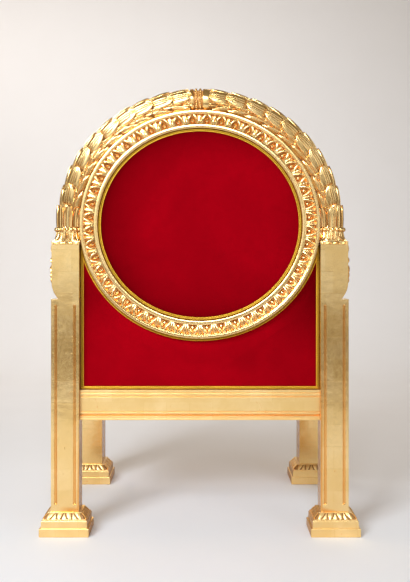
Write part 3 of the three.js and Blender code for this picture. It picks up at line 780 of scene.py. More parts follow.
class THRONE_OT_posts(bpy.types.Operator):
    """Shapes the fluted rear posts with their side carving, and the front legs"""
    bl_idname = "throne.posts"
    bl_label = "Posts and legs"

    def execute(self, context):
        softness = context.scene.throne_sizes.edge_softness
        for name, side in SIDES:
            finish_gilt(rear_post(name, side, softness), f"rear_post_{name}", joinery=True)
            finish_gilt(front_leg(name, side, softness), f"front_leg_{name}", joinery=True)
        return {"FINISHED"}


# ---- Feet ----

FOOT_PROFILE = (
    (0.0, 0.97), (1.5, 1.0), (29.0, 1.0), (30.0, 0.98), (30.2, 0.83), (54.5, 0.82), (56.0, 0.79),
    (56.2, 0.73), (60.0, 0.73), (61.0, 0.7), (61.5, 0.54), (68.0, 0.42), (75.0, 0.27), (79.5, 0.16),
    (80.0, 0.27), (82.0, 0.26),
)


def stepped_foot(name, centre, depth):
    """Draws the foot up tier by tier from its plinth."""
    wide, deep = POST_WIDTH / 2, depth / 2
    first = FOOT_PROFILE[0][1]
    out_x, out_y = wide + FOOT_OUT_X * first, deep + FOOT_OUT_Y * first
    base = block(name, (centre.x - out_x, centre.y - out_y, 0),
                 (centre.x + out_x, centre.y + out_y, FOOT_PROFILE[1][0] * MM))
    edit(base)
    previous = first
    for i, (height, reach) in enumerate(FOOT_PROFILE[1:]):
        top = FOOT_PROFILE[i][0] * MM if i > 0 else FOOT_PROFILE[1][0] * MM
        pick(base, lambda f: f.normal.z > 0.9 and f.calc_center_median().z > top - 1e-5, "FACE")
        if i > 0:
            extrude(z=height * MM - top)
        sx = (wide + FOOT_OUT_X * reach) / (wide + FOOT_OUT_X * previous)
        sy = (deep + FOOT_OUT_Y * reach) / (deep + FOOT_OUT_Y * previous)
        grow((sx, sy, 1), (centre.x, centre.y, height * MM))
        previous = reach
    leave_edit()
    soften(base, 0.7 * MM, 2, 25)
    co = coordinates(base)
    band = (co[:, 2] > 61.2 * MM) & (co[:, 2] < 79.8 * MM)
    inward = turned_to(base, Vector((-math.copysign(1, centre.x), 0, 0)))
    # Painted shade on the band behind its leaves; the inner faces are painted brown.
    mark(base, "hollow", np.maximum(band * BAND_SHADE, inward * INNER_SIDE_BROWN))
    return base


def band_tooth():
    """A pointed leaf of the band round a foot, with a rib down its middle."""
    return carved_leaf("band_tooth", (1.0, 0.88, 0.7, 0.5, 0.26), (1.6, 2.6, 3.0, 2.6, 1.8),
                       ((0, 1.0), (0.25, 0.2), (0.6, 0.4), (1, -0.8)), 5, 8)


def foot_leaf_places(centre, depth):
    """Places for the leaves of one foot, root at the top of the band and tip down, and for
    the upturned ones between them."""
    middle = np.array([centre.x, centre.y, 0])

    def place_at(turn, share, wide, rise, upturned=False):
        along_x = turn % 2 == 0
        near, far = (POST_WIDTH, depth) if along_x else (depth, POST_WIDTH)
        out_near, out_far = (FOOT_OUT_X, FOOT_OUT_Y) if along_x else (FOOT_OUT_Y, FOOT_OUT_X)
        angle = turn * math.pi / 2
        face = np.array([math.sin(angle), -math.cos(angle), 0])
        across = np.array([math.cos(angle), math.sin(angle), 0])

        def place(flat):
            down = 1 - flat[:, 0] * 0.96 if upturned else flat[:, 0]
            spread = BAND_OUT_TOP + (BAND_OUT_LOW - BAND_OUT_TOP) * down
            side = (near / 2 + out_near * spread) * (share + flat[:, 1] / FOOT_LEAVES * wide)
            reach = far / 2 + out_far * spread + flat[:, 2] * rise
            point = np.outer(side, across) + np.outer(reach, face)
            point[:, 2] += BAND_TOP + (BAND_LOW - BAND_TOP) * down + flat[:, 2] * rise / 2
            return point + middle
        return place

    shares = np.linspace(-1, 1, 2 * FOOT_LEAVES + 1)
    leaves = [place_at(turn, share, 1.25, 0.8) for turn in range(4) for share in shares[1::2]]
    darts = [place_at(turn, share, 0.8, 0.6, upturned=True)
             for turn in range(4) for share in shares[2:-1:2]]
    return leaves, darts


class THRONE_OT_feet(bpy.types.Operator):
    """Draws up the four stepped feet and lays their bands of leaves"""
    bl_idname = "throne.feet"
    bl_label = "Feet"

    def execute(self, context):
        leaf = band_tooth()
        for name in ("rear_left", "rear_right", "front_left", "front_right"):
            low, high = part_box(f"foot_{name}")
            centre = (low + high) / 2
            depth = high.y - low.y - 2 * FOOT_OUT_Y
            foot = stepped_foot(f"foot_{name}_body", centre, depth)
            leaves, buds = foot_leaf_places(centre, depth)
            pieces = [foot, lay_copies("foot_leaves", leaf, leaves),
                      lay_copies("foot_darts", leaf, buds)]
            finish_gilt(join(f"carved_foot_{name}", pieces), f"foot_{name}", "matte", joinery=True)
        remove(leaf)
        return {"FINISHED"}


# ---- Seat rails and board ----

def moulded_rail(name, length, thickness, bottom, top, softness):
    """A rail along X with its moulded face at y = 0, looking along -Y."""
    rail = block(name, (-length / 2, 0, bottom), (length / 2, thickness, top))
    edit(rail)
    for z, width, _ in RAIL_GROOVES:
        for share in (0.5, 0.25, -0.25, -0.5):
            cut_at(rail, (0, 0, (z + width * share) * MM), (0, 0, 1))
    for z, width, sink in RAIL_GROOVES:
        pick(rail, lambda v: v.co.y < 1e-6 and abs(v.co.z - z * MM) < (width * 0.25 + 0.1) * MM)
        slide(y=sink * MM)
    leave_edit()
    soften(rail, softness * 0.6, 2, 20)
    co = coordinates(rail)
    # Painted shade and orange reflection in the grooves, deeper the further they sink.
    mark(rail, "hollow", np.where(co[:, 1] < 10 * MM, np.clip(co[:, 1] / (9 * MM), 0, 0.55), 0))
    return rail


class THRONE_OT_rails(bpy.types.Operator):
    """Runs the mouldings of the four seat rails"""
    bl_idname = "throne.rails"
    bl_label = "Seat rails"

    def execute(self, context):
        softness = context.scene.throne_sizes.edge_softness
        turns = {"rear": 0, "front": math.pi, "left": -math.pi / 2, "right": math.pi / 2}
        for name, turn in turns.items():
            low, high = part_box(f"seat_rail_{name}")
            size = high - low
            cross = name in ("rear", "front")
            length, thickness = (size.x, size.y) if cross else (size.y, size.x)
            rail = moulded_rail(f"moulded_rail_{name}", length, thickness, low.z, high.z, softness)
            focus(rail)
            rail.rotation_euler.z = turn
            middle = (low + high) / 2
            reach = {"rear": (middle.x, low.y), "front": (middle.x, high.y),
                     "left": (low.x, middle.y), "right": (high.x, middle.y)}[name]
            rail.location = (*reach, 0)
            bpy.ops.object.transform_apply(location=True, rotation=True, scale=True)
            finish_gilt(rail, f"seat_rail_{name}", "matte", joinery=True)
        return {"FINISHED"}


# ---- Arms ----

def arm(name, softness):
    low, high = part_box(f"arm_{name}")
    radius = 35 * MM
    scroll_y = high.y - radius
    scroll_z = high.z - radius
    bar = block("bar", (low.x, low.y, high.z - 46 * MM), (high.x, scroll_y, high.z))
    edit(bar)
    for inset_z in (8 * MM, 14 * MM):
        cut_at(bar, (0, 0, high.z - inset_z), (0, 0, 1))
    for edge, sign in ((low.x, 1), (high.x, -1)):
        pick(bar, lambda v: abs(v.co.x - edge) < 1e-6 and v.co.z < high.z - 13 * MM)
        slide(x=sign * 7 * MM)
    leave_edit()
    clear()
    bpy.ops.mesh.primitive_cylinder_add(vertices=64, radius=radius, depth=high.x - low.x,
                                        location=((low.x + high.x) / 2, scroll_y, scroll_z),
                                        rotation=(0, math.pi / 2, 0))
    scroll = named("scroll")
    edit(scroll)
    for direction in (-1, 1):
        pick(scroll, lambda f: f.normal.x * direction > 0.9, "FACE")
        for step, rise in ((5, -4), (9, 3), (5, -3), (6, 5.5)):
            inset(step * MM)
            slide(x=direction * rise * MM)
    leave_edit()
    pieces = [bar, scroll]
    for piece in pieces:
        soften(piece, softness)
    return join(f"scrolled_arm_{name}", pieces)


class THRONE_OT_arms(bpy.types.Operator):
    """Shapes the scrolled arms"""
    bl_idname = "throne.arms"
    bl_label = "Arms"

    def execute(self, context):
        softness = context.scene.throne_sizes.edge_softness
        for name, _ in SIDES:
            finish_gilt(arm(name, softness), f"arm_{name}", joinery=True)
        return {"FINISHED"}


# ---- Oval frame ----

OPENING_X = RING_OUTER_X - RING_WIDTH
OPENING_Z = RING_OUTER_Z - RING_WIDTH


def oval_points(angle, out, depth):
    """Points of the oval frame: `out` from its opening and `depth` behind its rear face."""
    return xyz((OPENING_X + out) * np.cos(angle), REAR_Y + depth,
               RING_CENTRE_Z + (OPENING_Z + out) * np.sin(angle))


def arc(centre_out, centre_depth, radius_out, radius_depth, start, end, steps):
    turns = np.radians(np.linspace(start, end, steps))
    return [(centre_out + radius_out * math.cos(t), centre_depth + radius_depth * math.sin(t))
            for t in turns]


def ring_profile():
    """The section of the oval frame, in millimetres out from the opening and behind the
    rear face: opening side, rounded inner fillet, hollow floor, outer moulding, front."""
    rear = [(0, 60), (0, 30), (0, 15), (0, 9.5), (0.3, 7.6), (1.4, 6.2), (3.4, 5.5), (6.2, 5.1), (9.2, 5.0),
            (12.2, 5.3), (14.8, 6.0), (16.4, 7.2), (17, 9.2), (17, 14)]
    rear += [(17, 20), (17.6, 23), (24, 22.5), (34, 21), (44, 18.5), (49, 15), (50.4, 11)]
    rear += [(50.6, 6.4), (51.2, 5.2), (52.4, 4.8), (53, 4.2), (53.2, 1.6)]
    rear += arc(55.6, 2.4, 2.4, 2.4, 190, 270, 4)
    rear += arc(62.3, 2.4, 2.4, 2.4, 270, 360, 4)
    front = [(64.7, 20), (64.7, 50), (64.7, 68)]
    front += arc(61.7, 69, 3, 3, 0, 90, 4)
    front += [(56, 72), (55, 68.5), (52, 67.5)]
    front += arc(40, 69, 11, 7.5, 345, 195, 8)
    front += [(27, 67.6), (24, 68.4), (23, 71)]
    front += arc(13.5, 64, 8, 8, 75, 175, 6)
    front += [(3, 63)]
    return np.array(rear + front) * MM


class THRONE_OT_oval_frame(bpy.types.Operator):
    """Runs the oval frame's mouldings and carves its leaf-and-dart band"""
    bl_idname = "throne.oval_frame"
    bl_label = "Oval frame"

    def execute(self, context):
        profile = ring_profile()
        angles = np.linspace(0, 2 * math.pi, 240, endpoint=False)
        rings = [oval_points(angle, profile[:, 0], profile[:, 1]) for angle in angles]
        rear = profile[:, 1] < 40 * MM
        band = (profile[:, 0] > INNER_FILLET - 0.2 * MM) & (profile[:, 0] < LEAF_BAND_END) & rear
        # Painted shade in the leaf-and-dart band, darker the deeper its floor lies.
        depth = np.where(band, np.clip(profile[:, 1] / (16 * MM), 0, 0.74), 0)
        body = loft("oval_body", rings, looped=True, hollow=np.tile(depth, len(angles)))
        leaf, bud = heart_leaf(), dart()
        pitch = 2 * math.pi / RING_LEAVES
        length = LEAF_BAND_END - INNER_FILLET

        def leaf_at(middle):
            def place(flat):
                out = LEAF_BAND_END - 0.3 * MM - flat[:, 0] * (length - 0.5 * MM)
                angle = middle + flat[:, 1] * pitch * 0.97
                rise = 5.2 * MM - flat[:, 2] + flat[:, 0] ** 2 * 2 * MM
                return oval_points(angle, out, rise)
            return place

        def bud_at(middle):
            def place(flat):
                out = INNER_FILLET + 10.5 * MM - flat[:, 0] * 10.5 * MM
                angle = middle + flat[:, 1] * 8.8 * MM / OPENING_X
                return oval_points(angle, out, 20 * MM - flat[:, 2] * 13 * MM)
            return place

        leaves = lay_copies("oval_leaves", leaf, [leaf_at(i * pitch) for i in range(RING_LEAVES)])
        buds = lay_copies("oval_darts", bud,
                          [bud_at((i + 0.5) * pitch) for i in range(RING_LEAVES)])
        for master in (leaf, bud):
            remove(master)
        finish_gilt(join("carved_oval_frame", [body, leaves, buds]), "back_ring", "carved", 40)
        return {"FINISHED"}


# ---- Wreath ----

def branch_points(side, angle, turn, radius):
    """Points of a laurel branch: `angle` up the arch, `turn` round it from outward by way
    of the rear, and `radius` from its middle line. Its side to the frame is squarer."""
    cosine, sine = np.cos(turn), np.sin(turn)
    power = np.where(cosine < 0, 0.68, 1.0)
    out = np.sign(cosine) * np.abs(cosine) ** power * radius
    back = np.sign(sine) * np.abs(sine) ** power * radius
    normal_x, normal_z = np.cos(angle) / WREATH_X, np.sin(angle) / WREATH_Z
    out = out / np.hypot(normal_x, normal_z)
    return xyz(side * (WREATH_X * np.cos(angle) + normal_x * out), POST_CENTRE_Y - back,
               RING_CENTRE_Z + WREATH_Z * np.sin(angle) + normal_z * out)


def branch_radius(angle):
    share = np.clip(angle / (math.pi / 2), 0, 1)
    return WREATH_RADIUS_FOOT + (WREATH_RADIUS_TOP - WREATH_RADIUS_FOOT) * share


def leaf_on_branch(side, root, length, turn, half_turn, lift=0.0, skew=0.0):
    """A place for a leaf whose root is at an angle of the arch."""
    def place(flat):
        angle = root + flat[:, 0] * length
        around = turn + flat[:, 1] * 2 * half_turn + skew * flat[:, 0]
        radius = branch_radius(angle) + flat[:, 2] + lift
        angle = np.minimum(angle, math.pi / 2 - BINDING_ANGLE * 0.9)
        return branch_points(side, angle, around, radius)
    return place


def berry_on_branch(side, spot, turn):
    def place(flat):
        angle = spot + flat[:, 0] * 5.6 * MM / WREATH_X
        around = turn + flat[:, 1] * 5.6 * MM / WREATH_RADIUS_TOP
        radius = branch_radius(angle) - 2.2 * MM + flat[:, 2] * 5.2 * MM
        return branch_points(side, angle, around, radius)
    return place


def skirt_points(side, height, turn, proud):
    """Points of the spreading foot of the wreath, from round at the neck to square."""
    levels = np.array([-12, -1, 3, 9, 19, 37, 41, 49, 54]) * MM + POST_TOP
    spreads = (1, 0.95, 0.62, 0.3, 0.09, 0, 0.16, 0.16, 0)
    spread = np.interp(height, levels, spreads)
    across, along = np.cos(turn), np.sin(turn)
    square = 1 / np.maximum(np.abs(across), np.abs(along))
    outer = POST_CENTRE_X + POST_WIDTH / 2 - 3 * MM - WREATH_X
    inner = WREATH_X - POST_INNER_X + 1.2 * MM
    box_x = across * square * np.where(across > 0, outer, inner)
    box_y = along * square * (POST_DEPTH / 2 + 1.2 * MM)
    neck = WREATH_RADIUS_FOOT + 2.5 * MM
    x = neck * across * (1 - spread) + box_x * spread + across * proud
    y = neck * along * (1 - spread) + box_y * spread + along * proud
    return xyz(side * (WREATH_X + x), POST_CENTRE_Y - y, height)


def branch_core(side):
    turns = np.linspace(0, 2 * math.pi, 32, endpoint=False)
    rings, hollow = [], []
    for up in (-12, -10.8, -1.5, 0, 1.5, 4, 9, 18, 26, 37, 39, 41, 49, 51):
        rings.append(skirt_points(side, up * MM + POST_TOP, turns, -1.5 * MM * (up > 2)))
        hollow += [0.6 if -10 < up < -2 else 0.0] * 32
    for angle in np.linspace(-0.008, math.pi / 2 - BINDING_ANGLE * 0.85, 60):
        rings.append(branch_points(side, angle, turns, branch_radius(angle) - 5.5 * MM))
        # Painted shade on the core between the leaves.
        hollow += [0.8] * 32
    return loft("branch_core", rings, hollow=hollow)


def around_foot(count, place):
    """Places evenly spread round the foot of a branch: `place` makes one from its turn."""
    return [place((i + 0.5) / count * 2 * math.pi) for i in range(count)]


def branch(name, side):
    rng = np.random.default_rng(7 if side > 0 else 3)
    end = math.pi / 2 - BINDING_ANGLE
    pitch = (end - CALYX_ANGLE) / WREATH_ROWS
    laurel, tongue, fruit = laurel_leaf(), tongue_leaf(), berry("berry", 1.0)
    laurel_places, berry_places = [], []
    for row in range(-1, WREATH_ROWS):
        root = CALYX_ANGLE + (row - 0.38) * pitch
        for mirror in (1, -1):
            for turn, half, ahead, raised in LEAF_LANES:
                wobble = rng.uniform(-1, 1, 4)
                length = pitch * (1.42 + 0.05 * wobble[0])
                start = root + (ahead - 0.05 * wobble[1]) * pitch
                if row < 0:
                    start, length = start + 0.3 * pitch, length * 0.8
                if row == WREATH_ROWS - 1:
                    length *= 0.93
                laurel_places.append(leaf_on_branch(
                    side, start, length, math.radians(mirror * turn + 2.5 * wobble[2]),
                    math.radians(half), (0.8 * wobble[3] + raised) * MM,
                    math.radians(4 * wobble[1])))
            for turn, share in ((50, 0.80), (108, 0.92)):
                around = math.radians(mirror * turn + 4 * rng.uniform(-1, 1))
                spot = CALYX_ANGLE + (row + share) * pitch

                if row >= 0:
                    berry_places.append(berry_on_branch(side, spot, around))

    def calyx_place(turn):
        return leaf_on_branch(side, CALYX_ROOT, CALYX_ANGLE - CALYX_ROOT + 0.01, turn,
                              math.pi / CALYX_LEAVES * 0.97, 2.4 * MM)

    def skirt_place(turn):
        def place(flat):
            height = POST_TOP + 34 * MM - flat[:, 0] * 33 * MM
            half = math.pi / SKIRT_LEAVES * 0.96
            return skirt_points(side, height, turn + flat[:, 1] * 2 * half, flat[:, 2] * 0.9)
        return place

    def bead_place(turn):
        centre = skirt_points(side, POST_TOP + 42 * MM, turn, -2.2 * MM)
        return lambda flat: centre + flat * 8.0 * MM

    def lip_place(turn):
        def place(flat):
            height = np.maximum(POST_TOP - 10.5 * MM + flat[:, 2] * 9.5 * MM, POST_TOP - 11.5 * MM)
            proud = -2.5 * MM + (flat[:, 0] + 1) * 2.2 * MM
            return skirt_points(side, height, turn + flat[:, 1] * 0.235, proud)
        return place

    tongue_places = around_foot(CALYX_LEAVES, calyx_place) + around_foot(SKIRT_LEAVES, skirt_place)
    berry_places += around_foot(FOOT_BEADS, bead_place)
    # The lip arches are given an even painted shade.
    pieces = [branch_core(side), lay_copies("laurel", laurel, laurel_places),
              lay_copies("calyx", tongue, tongue_places), lay_copies("berries", fruit, berry_places),
              lay_copies("lip_arches", fruit, around_foot(SKIRT_LEAVES, lip_place), 0.5)]
    for master in (laurel, tongue, fruit):
        remove(master)
    return join(f"laurel_branch_{name}", pieces)


def binding_band():
    """The tie at the crown: two plain strips with two rows of beads sunk between them."""
    # Each step across the band: where it lies, how far it rises in millimetres, and its painted shade.
    steps = ((-1, -8, 1), (-1, 0.4, 0.6), (-0.97, 1.4, 0.3), (-0.66, 1.6, 0.3), (-0.62, 0.6, 0.6),
             (-0.6, -3.4, 0.8), (0.3, -3.4, 0.8), (0.32, 0.8, 0.6), (0.36, 1.6, 0.2), (0.92, 1.8, 0.1),
             (0.97, 1.2, 0.4), (1, -8, 1))
    turns = np.linspace(0, 2 * math.pi, 64, endpoint=False)
    rings, hollow = [], []
    for across, rise, deep in steps:
        squeeze = np.where(np.cos(turns) < 0, 0.985, 1.0)
        rings.append(branch_points(1, math.pi / 2 - across * BINDING_ANGLE, turns,
                                   (WREATH_RADIUS_TOP + rise * MM) * squeeze))
        hollow += [float(deep)] * 64
    band = loft("binding_band", rings, hollow=hollow)
    bead = berry("bead", 1.0, segments=8, rings=6)
    places = []
    for column, across in enumerate((-0.39, 0.04)):
        for i in range(TIE_BEADS):
            turn = (i + 0.5 * column) / TIE_BEADS * 2 * math.pi
            centre = branch_points(1, math.pi / 2 - across * BINDING_ANGLE, turn,
                                   WREATH_RADIUS_TOP - 1.6 * MM)
            places.append(lambda flat, centre=centre: centre + flat * 4.9 * MM)
    # The beads get an even painted shade.
    beads = lay_copies("binding_beads", bead, places, 0.32)
    remove(bead)
    return join("beaded_binding", [band, beads])


class THRONE_OT_wreath(bpy.types.Operator):
    """Carves the two laurel branches and the beaded tie between them"""
    bl_idname = "throne.wreath"
    bl_label = "Laurel wreath"

    def execute(self, context):
        for name, side in SIDES:
            finish_gilt(branch(name, side), f"wreath_{name}", "carved", 55)
        finish_gilt(binding_band(), "wreath_binding", "carved", 50)
        return {"FINISHED"}


# ---- Upholstery ----

def velvet_piece(obj, node_name):
    outward(obj)
    smooth(obj, 60)
    obj.data.materials.clear()
    obj.data.materials.append(bpy.data.materials["crimson_velvet"])
    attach(obj, "root")
    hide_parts(node_name)
    return obj


# The rings of a stretched pad: their size beside the pad's, and their share of its rise.
PAD_RINGS = ((0.985, 0.0), (0.965, 0.06), (0.92, 0.3), (0.84, 0.56), (0.7, 0.8), (0.5, 0.94),
             (0.25, 1.0))


def oval_pad(name, node_name, facing):
    """A stretched pad: a disc whose face is drawn in and raised ring by ring."""
    low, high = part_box(node_name)
    centre = (low + high) / 2
    size = high - low
    dome = 5 * MM if facing < 0 else 12 * MM
    clear()
    bpy.ops.mesh.primitive_cylinder_add(vertices=128, radius=0.5, depth=size.y - dome,
                                        location=(0, 0, 0), rotation=(math.pi / 2, 0, 0))
    pad = named(name)
    edit(pad)
    pick(pad, lambda f: f.normal.y * facing > 0.9, "FACE")
    face_y = facing * (size.y - dome) / 2
    for share, rise in PAD_RINGS:
        inset(0.001)
        chosen = [v.co for v in bmesh.from_edit_mesh(pad.data).verts if v.select]
        here = max(math.hypot(co.x, co.z) for co in chosen)
        grow((share * 0.5 / here, 1, share * 0.5 / here), (0, face_y, 0))
        at = next(v.co.y for v in bmesh.from_edit_mesh(pad.data).verts if v.select)
        slide(y=face_y + facing * dome * rise - at)
    leave_edit()
    focus(pad)
    pad.scale = (size.x, 1, size.z)
    shift = -dome / 2 * facing
    pad.location = (centre.x, centre.y + shift, centre.z)
    bpy.ops.object.transform_apply(location=True, rotation=True, scale=True)
    co = coordinates(pad) - np.array([centre.x, 0, centre.z])
    x, z = co[:, 0] / (size.x / 2), co[:, 2] / (size.z / 2)
    reach = np.hypot(x, z)
    # Painted light and shade: darker towards the rim and towards -X, lighter towards +X.
    painted_side_light = 0.27 * np.clip(x, 0, 1) - 0.12 * np.clip(-x, 0, 1)
    painted_light_and_shade = 0.12 - 0.62 * reach ** 2 + painted_side_light * reach - np.clip(reach - 0.95, 0, 1) * 5
    mark(pad, "painted_light_and_shade", painted_light_and_shade, -1)
    return velvet_piece(pad, node_name)


def copied_solid(name, node_name, shrink):
    """A merged copy of a CAD solid, drawn in by a little."""
    source = frame["nodes"][node_name]
    obj = bpy.data.objects.new(name, source.data.copy())
    bpy.context.scene.collection.objects.link(obj)
    outward(obj)
    low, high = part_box(node_name)
    edit(obj)
    select_all()
    grow(tuple(1 - 2 * shrink / side for side in high - low), tuple((low + high) / 2))
    leave_edit()
    return obj


def plumped(obj, voxel, cap, frames):
    """Swells a closed solid as a stuffed cover does, each point by no more than the cap."""
    modify(obj, "REMESH", mode="VOXEL", voxel_size=voxel)
    rest = coordinates(obj)
    focus(obj)
    cloth = obj.modifiers.new("cloth", "CLOTH")
    cloth.settings.use_pressure = True
    cloth.settings.uniform_pressure_force = 3.0
    cloth.settings.effector_weights.gravity = 0
    cloth.point_cache.frame_start, cloth.point_cache.frame_end = 1, frames
    for number in range(1, frames + 1):
        bpy.context.scene.frame_set(number)
    bpy.ops.object.modifier_apply(modifier=cloth.name)
    bpy.context.scene.frame_set(1)
    moved = coordinates(obj) - rest
    far = np.linalg.norm(moved, axis=1)
    moved *= np.minimum(1, cap / np.maximum(far, 1e-9))[:, None]
    set_coordinates(obj, rest + moved)


FREE = 1000  # Millimetres: a side of the box that stuffing may pass freely.


def stuffed(obj, node_name, fine, cap, frames, below, above):
    """Stuffs a copied solid and keeps it within a little of its box: `below` and `above`
    are how far it may pass the box's low and high corners."""
    plumped(obj, fine * MM, cap * MM, frames)
    low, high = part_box(node_name)
    least, most = np.array(low) - np.array(below) * MM, np.array(high) + np.array(above) * MM
    set_coordinates(obj, np.clip(coordinates(obj), least, most))
    velvet_piece(obj, node_name)


# Points along the panel's line: the rail, the right side, the arc and the left side.
PANEL_COUNTS = (300, 130, 420, 130)


def straight(start, end, count):
    t = np.arange(count)[:, None] / count
    return np.array(start) + (np.array(end) - np.array(start)) * t


def panel_line(inset_by, share=1.0):
    """A closed line round the panel, drawn in by `inset_by`: along the rail, up a side,
    round the arc under the oval frame and down. Every inset has as many points."""
    low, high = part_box("lower_panel")
    half_x, bottom = high.x - inset_by, low.z + inset_by
    arc_x, arc_z = RING_OUTER_X + 1.2 * MM + inset_by, RING_OUTER_Z + 1.2 * MM + inset_by
    start = max(math.acos(min(1, half_x / arc_x)), math.asin((RING_CENTRE_Z - high.z) / arc_z))
    top = RING_CENTRE_Z - arc_z * math.sin(start)
    counts = [max(2, int(count * share)) for count in PANEL_COUNTS]
    turns = -start - (math.pi - 2 * start) * np.arange(counts[2]) / counts[2]
    return np.vstack([straight((-half_x, bottom), (half_x, bottom), counts[0]),
                      straight((half_x, bottom), (half_x, top), counts[1]),
                      np.column_stack([arc_x * np.cos(turns), RING_CENTRE_Z + arc_z * np.sin(turns)]),
                      straight((-half_x, top), (-half_x, bottom), counts[3])])


def velvet_panel():
    """The stretched panel: its edges turn in under the braid and its face stands a little.
    Each ring is drawn in by a distance and lies back by another, in millimetres."""
    low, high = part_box("lower_panel")
    faces = ((0.0, 2.4), (0.8, 0.8), (2.6, 0.0), (11.0, -0.2), (12.5, -0.8), (14.5, -1.5), (17.0, -2.1),
             (22.0, -2.9), (32.0, -3.5), (60.0, -3.8))
    rings = []
    for face_y, inward, order in ((high.y, -0.6, reversed(faces)), (low.y, 1, faces)):
        for inset_by, back in order:
            line = panel_line(inset_by * MM, 0.3)
            rings.append(xyz(line[:, 0], face_y + inward * back * MM, line[:, 1]))
    panel = loft("velvet_panel", rings)
    co = coordinates(panel)
    # Painted light and shade: a painted reflection of the frame just under its arc, and painted shade along
    # the rail and sides, in the upper corners and towards +X.
    arc_gap = np.hypot(co[:, 0] / RING_OUTER_X, (co[:, 2] - RING_CENTRE_Z) / RING_OUTER_Z) - 1
    arc_gap = np.clip(arc_gap, 0, 1) * RING_OUTER_X
    edge_gap = np.minimum(co[:, 2] - low.z, high.x - np.abs(co[:, 0]))
    height = np.clip((co[:, 2] - 0.62) / 0.25, 0, 1)
    painted_arc_light = 0.5 * np.exp(-arc_gap / 0.007) + 0.24 * np.exp(-arc_gap / 0.03)
    corners = (0.15 + 0.45 * np.clip((np.abs(co[:, 0]) - 0.12) / 0.2, 0, 1)) * height
    right = 0.22 * np.clip(co[:, 0] - 0.22, 0, 0.2) / 0.2
    painted_light_and_shade = 0.14 + painted_arc_light - 0.7 * np.exp(-edge_gap / 0.004) - corners - right
    mark(panel, "painted_light_and_shade", painted_light_and_shade, -1)
    velvet_piece(panel, "lower_panel")


class THRONE_OT_upholstery(bpy.types.Operator):
    """Stretches the velvet over the back and the panel, and stuffs the cushion and arm pads"""
    bl_idname = "throne.upholstery"
    bl_label = "Upholstery"

    def execute(self, context):
        oval_pad("velvet_oval_rear", "oval_pad_rear", -1)
        oval_pad("velvet_oval_front", "oval_pad_front", 1)
        velvet_panel()
        cushion = copied_solid("velvet_cushion", "seat_cushion", 7 * MM)
        modify(cushion, "BEVEL", width=14 * MM, segments=3, limit_method="ANGLE",
               angle_limit=math.radians(40))
        stuffed(cushion, "seat_cushion", 8, 16, 20, (2, 0.5, -0.2), (2, 2, 8))
        for name, _ in SIDES:
            pad = copied_solid(f"velvet_arm_pad_{name}", f"arm_pad_{name}", 2.5 * MM)
            stuffed(pad, f"arm_pad_{name}", 4, 5, 12, (FREE, FREE, 0), (FREE,) * 3)
        return {"FINISHED"}


# ---- Braid ----

# Across the braid: place, rise and painted shade, from the frame to the raised cord at the velvet; the
# outer edge is painted dark as the frame's shadow.
BRAID_SECTION = ((-1.0, 0.1, 1.0), (-0.94, 0.3, 1.0), (-0.66, 0.42, 0.95), (-0.56, 0.45, 0.5),
                 (-0.05, 0.42, 0.45), (0.14, 0.2, 0.9), (0.28, 0.55, 0.3), (0.45, 0.86, 0.05),
                 (0.63, 0.95, 0.0), (0.8, 0.84, 0.1), (0.93, 0.5, 0.4), (1.0, 0.1, 0.9))


def braid_along(name, lines, face_y, thick, node_name):
    """A flat braid through closed lines laid side by side, with plaits aslant from its middle."""
    middle = lines[len(lines) // 2]
    gaps = np.linalg.norm(np.roll(middle, -1, axis=0) - middle, axis=1)
    run = np.concatenate([[0], np.cumsum(gaps)[:-1]]) / gaps.sum()
    plaits = round(gaps.sum() / (7 * MM))
    columns, hollow = [], []
    for line, (across, ridge, shade) in zip(lines, BRAID_SECTION):
        wave = 0.5 + 0.5 * np.cos(2 * math.pi * plaits * run + across * 4.5)
        rise = thick * (ridge + (0.12 if abs(across) < 0.9 else 0.0) * wave)
        columns.append(xyz(line[:, 0], face_y - rise, line[:, 1]))
        # Painted shade between the plaits.
        hollow.append(np.clip(shade + 0.35 * (1 - wave), 0, 1))
    # The braid's sides are painted in full shade.
    for line in (lines[-1], lines[0]):
        columns.append(xyz(line[:, 0], face_y, line[:, 1]))
        hollow.append(np.ones(len(line)))
    rings = np.stack(columns, axis=1)
    obj = loft(name, rings, looped=True, hollow=np.stack(hollow, axis=1).ravel())
    outward(obj)
    smooth(obj, 60)
    obj.data.materials.append(bpy.data.materials["plaited_gold_thread"])
    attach(obj, "root")
    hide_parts(node_name)
    return obj


class THRONE_OT_braid(bpy.types.Operator):
    """Sews the gold braid round the oval and the lower panel"""
    bl_idname = "throne.braid"
    bl_label = "Braid"

    def execute(self, context):
        low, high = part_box("oval_braid")
        half_x, half_z = (high.x - low.x) / 2, (high.z - low.z) / 2
        turns = np.linspace(0, 2 * math.pi, 1300, endpoint=False)
        lines = []
        for across, _, _ in BRAID_SECTION:
            inset_by = (BRAID_WIDTH - 1 * MM) / 2 * (1 + across)
            lines.append(np.column_stack([(half_x - inset_by) * np.cos(turns),
                                          RING_CENTRE_Z + (half_z - inset_by) * np.sin(turns)]))
        braid_along("braid_oval", lines, high.y, high.y - low.y, "oval_braid")
        low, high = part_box("lower_panel_braid")
        lines = [panel_line(0.4 * MM + (BRAID_WIDTH - 0.8 * MM) / 2 * (1 + across))
                 for across, _, _ in BRAID_SECTION]
        braid_along("braid_panel", lines, high.y, high.y - low.y, "lower_panel_braid")
        return {"FINISHED"}


# ---- Stage ----

COOL_WHITE = (0.8, 0.89, 1.0)
SWEEP_WHITE = (1.0, 0.965, 0.95)
AIR_COLOUR = (1.0, 0.76, 0.46, 1)
CAMERA_X = 0.0185
LENS = 51.55
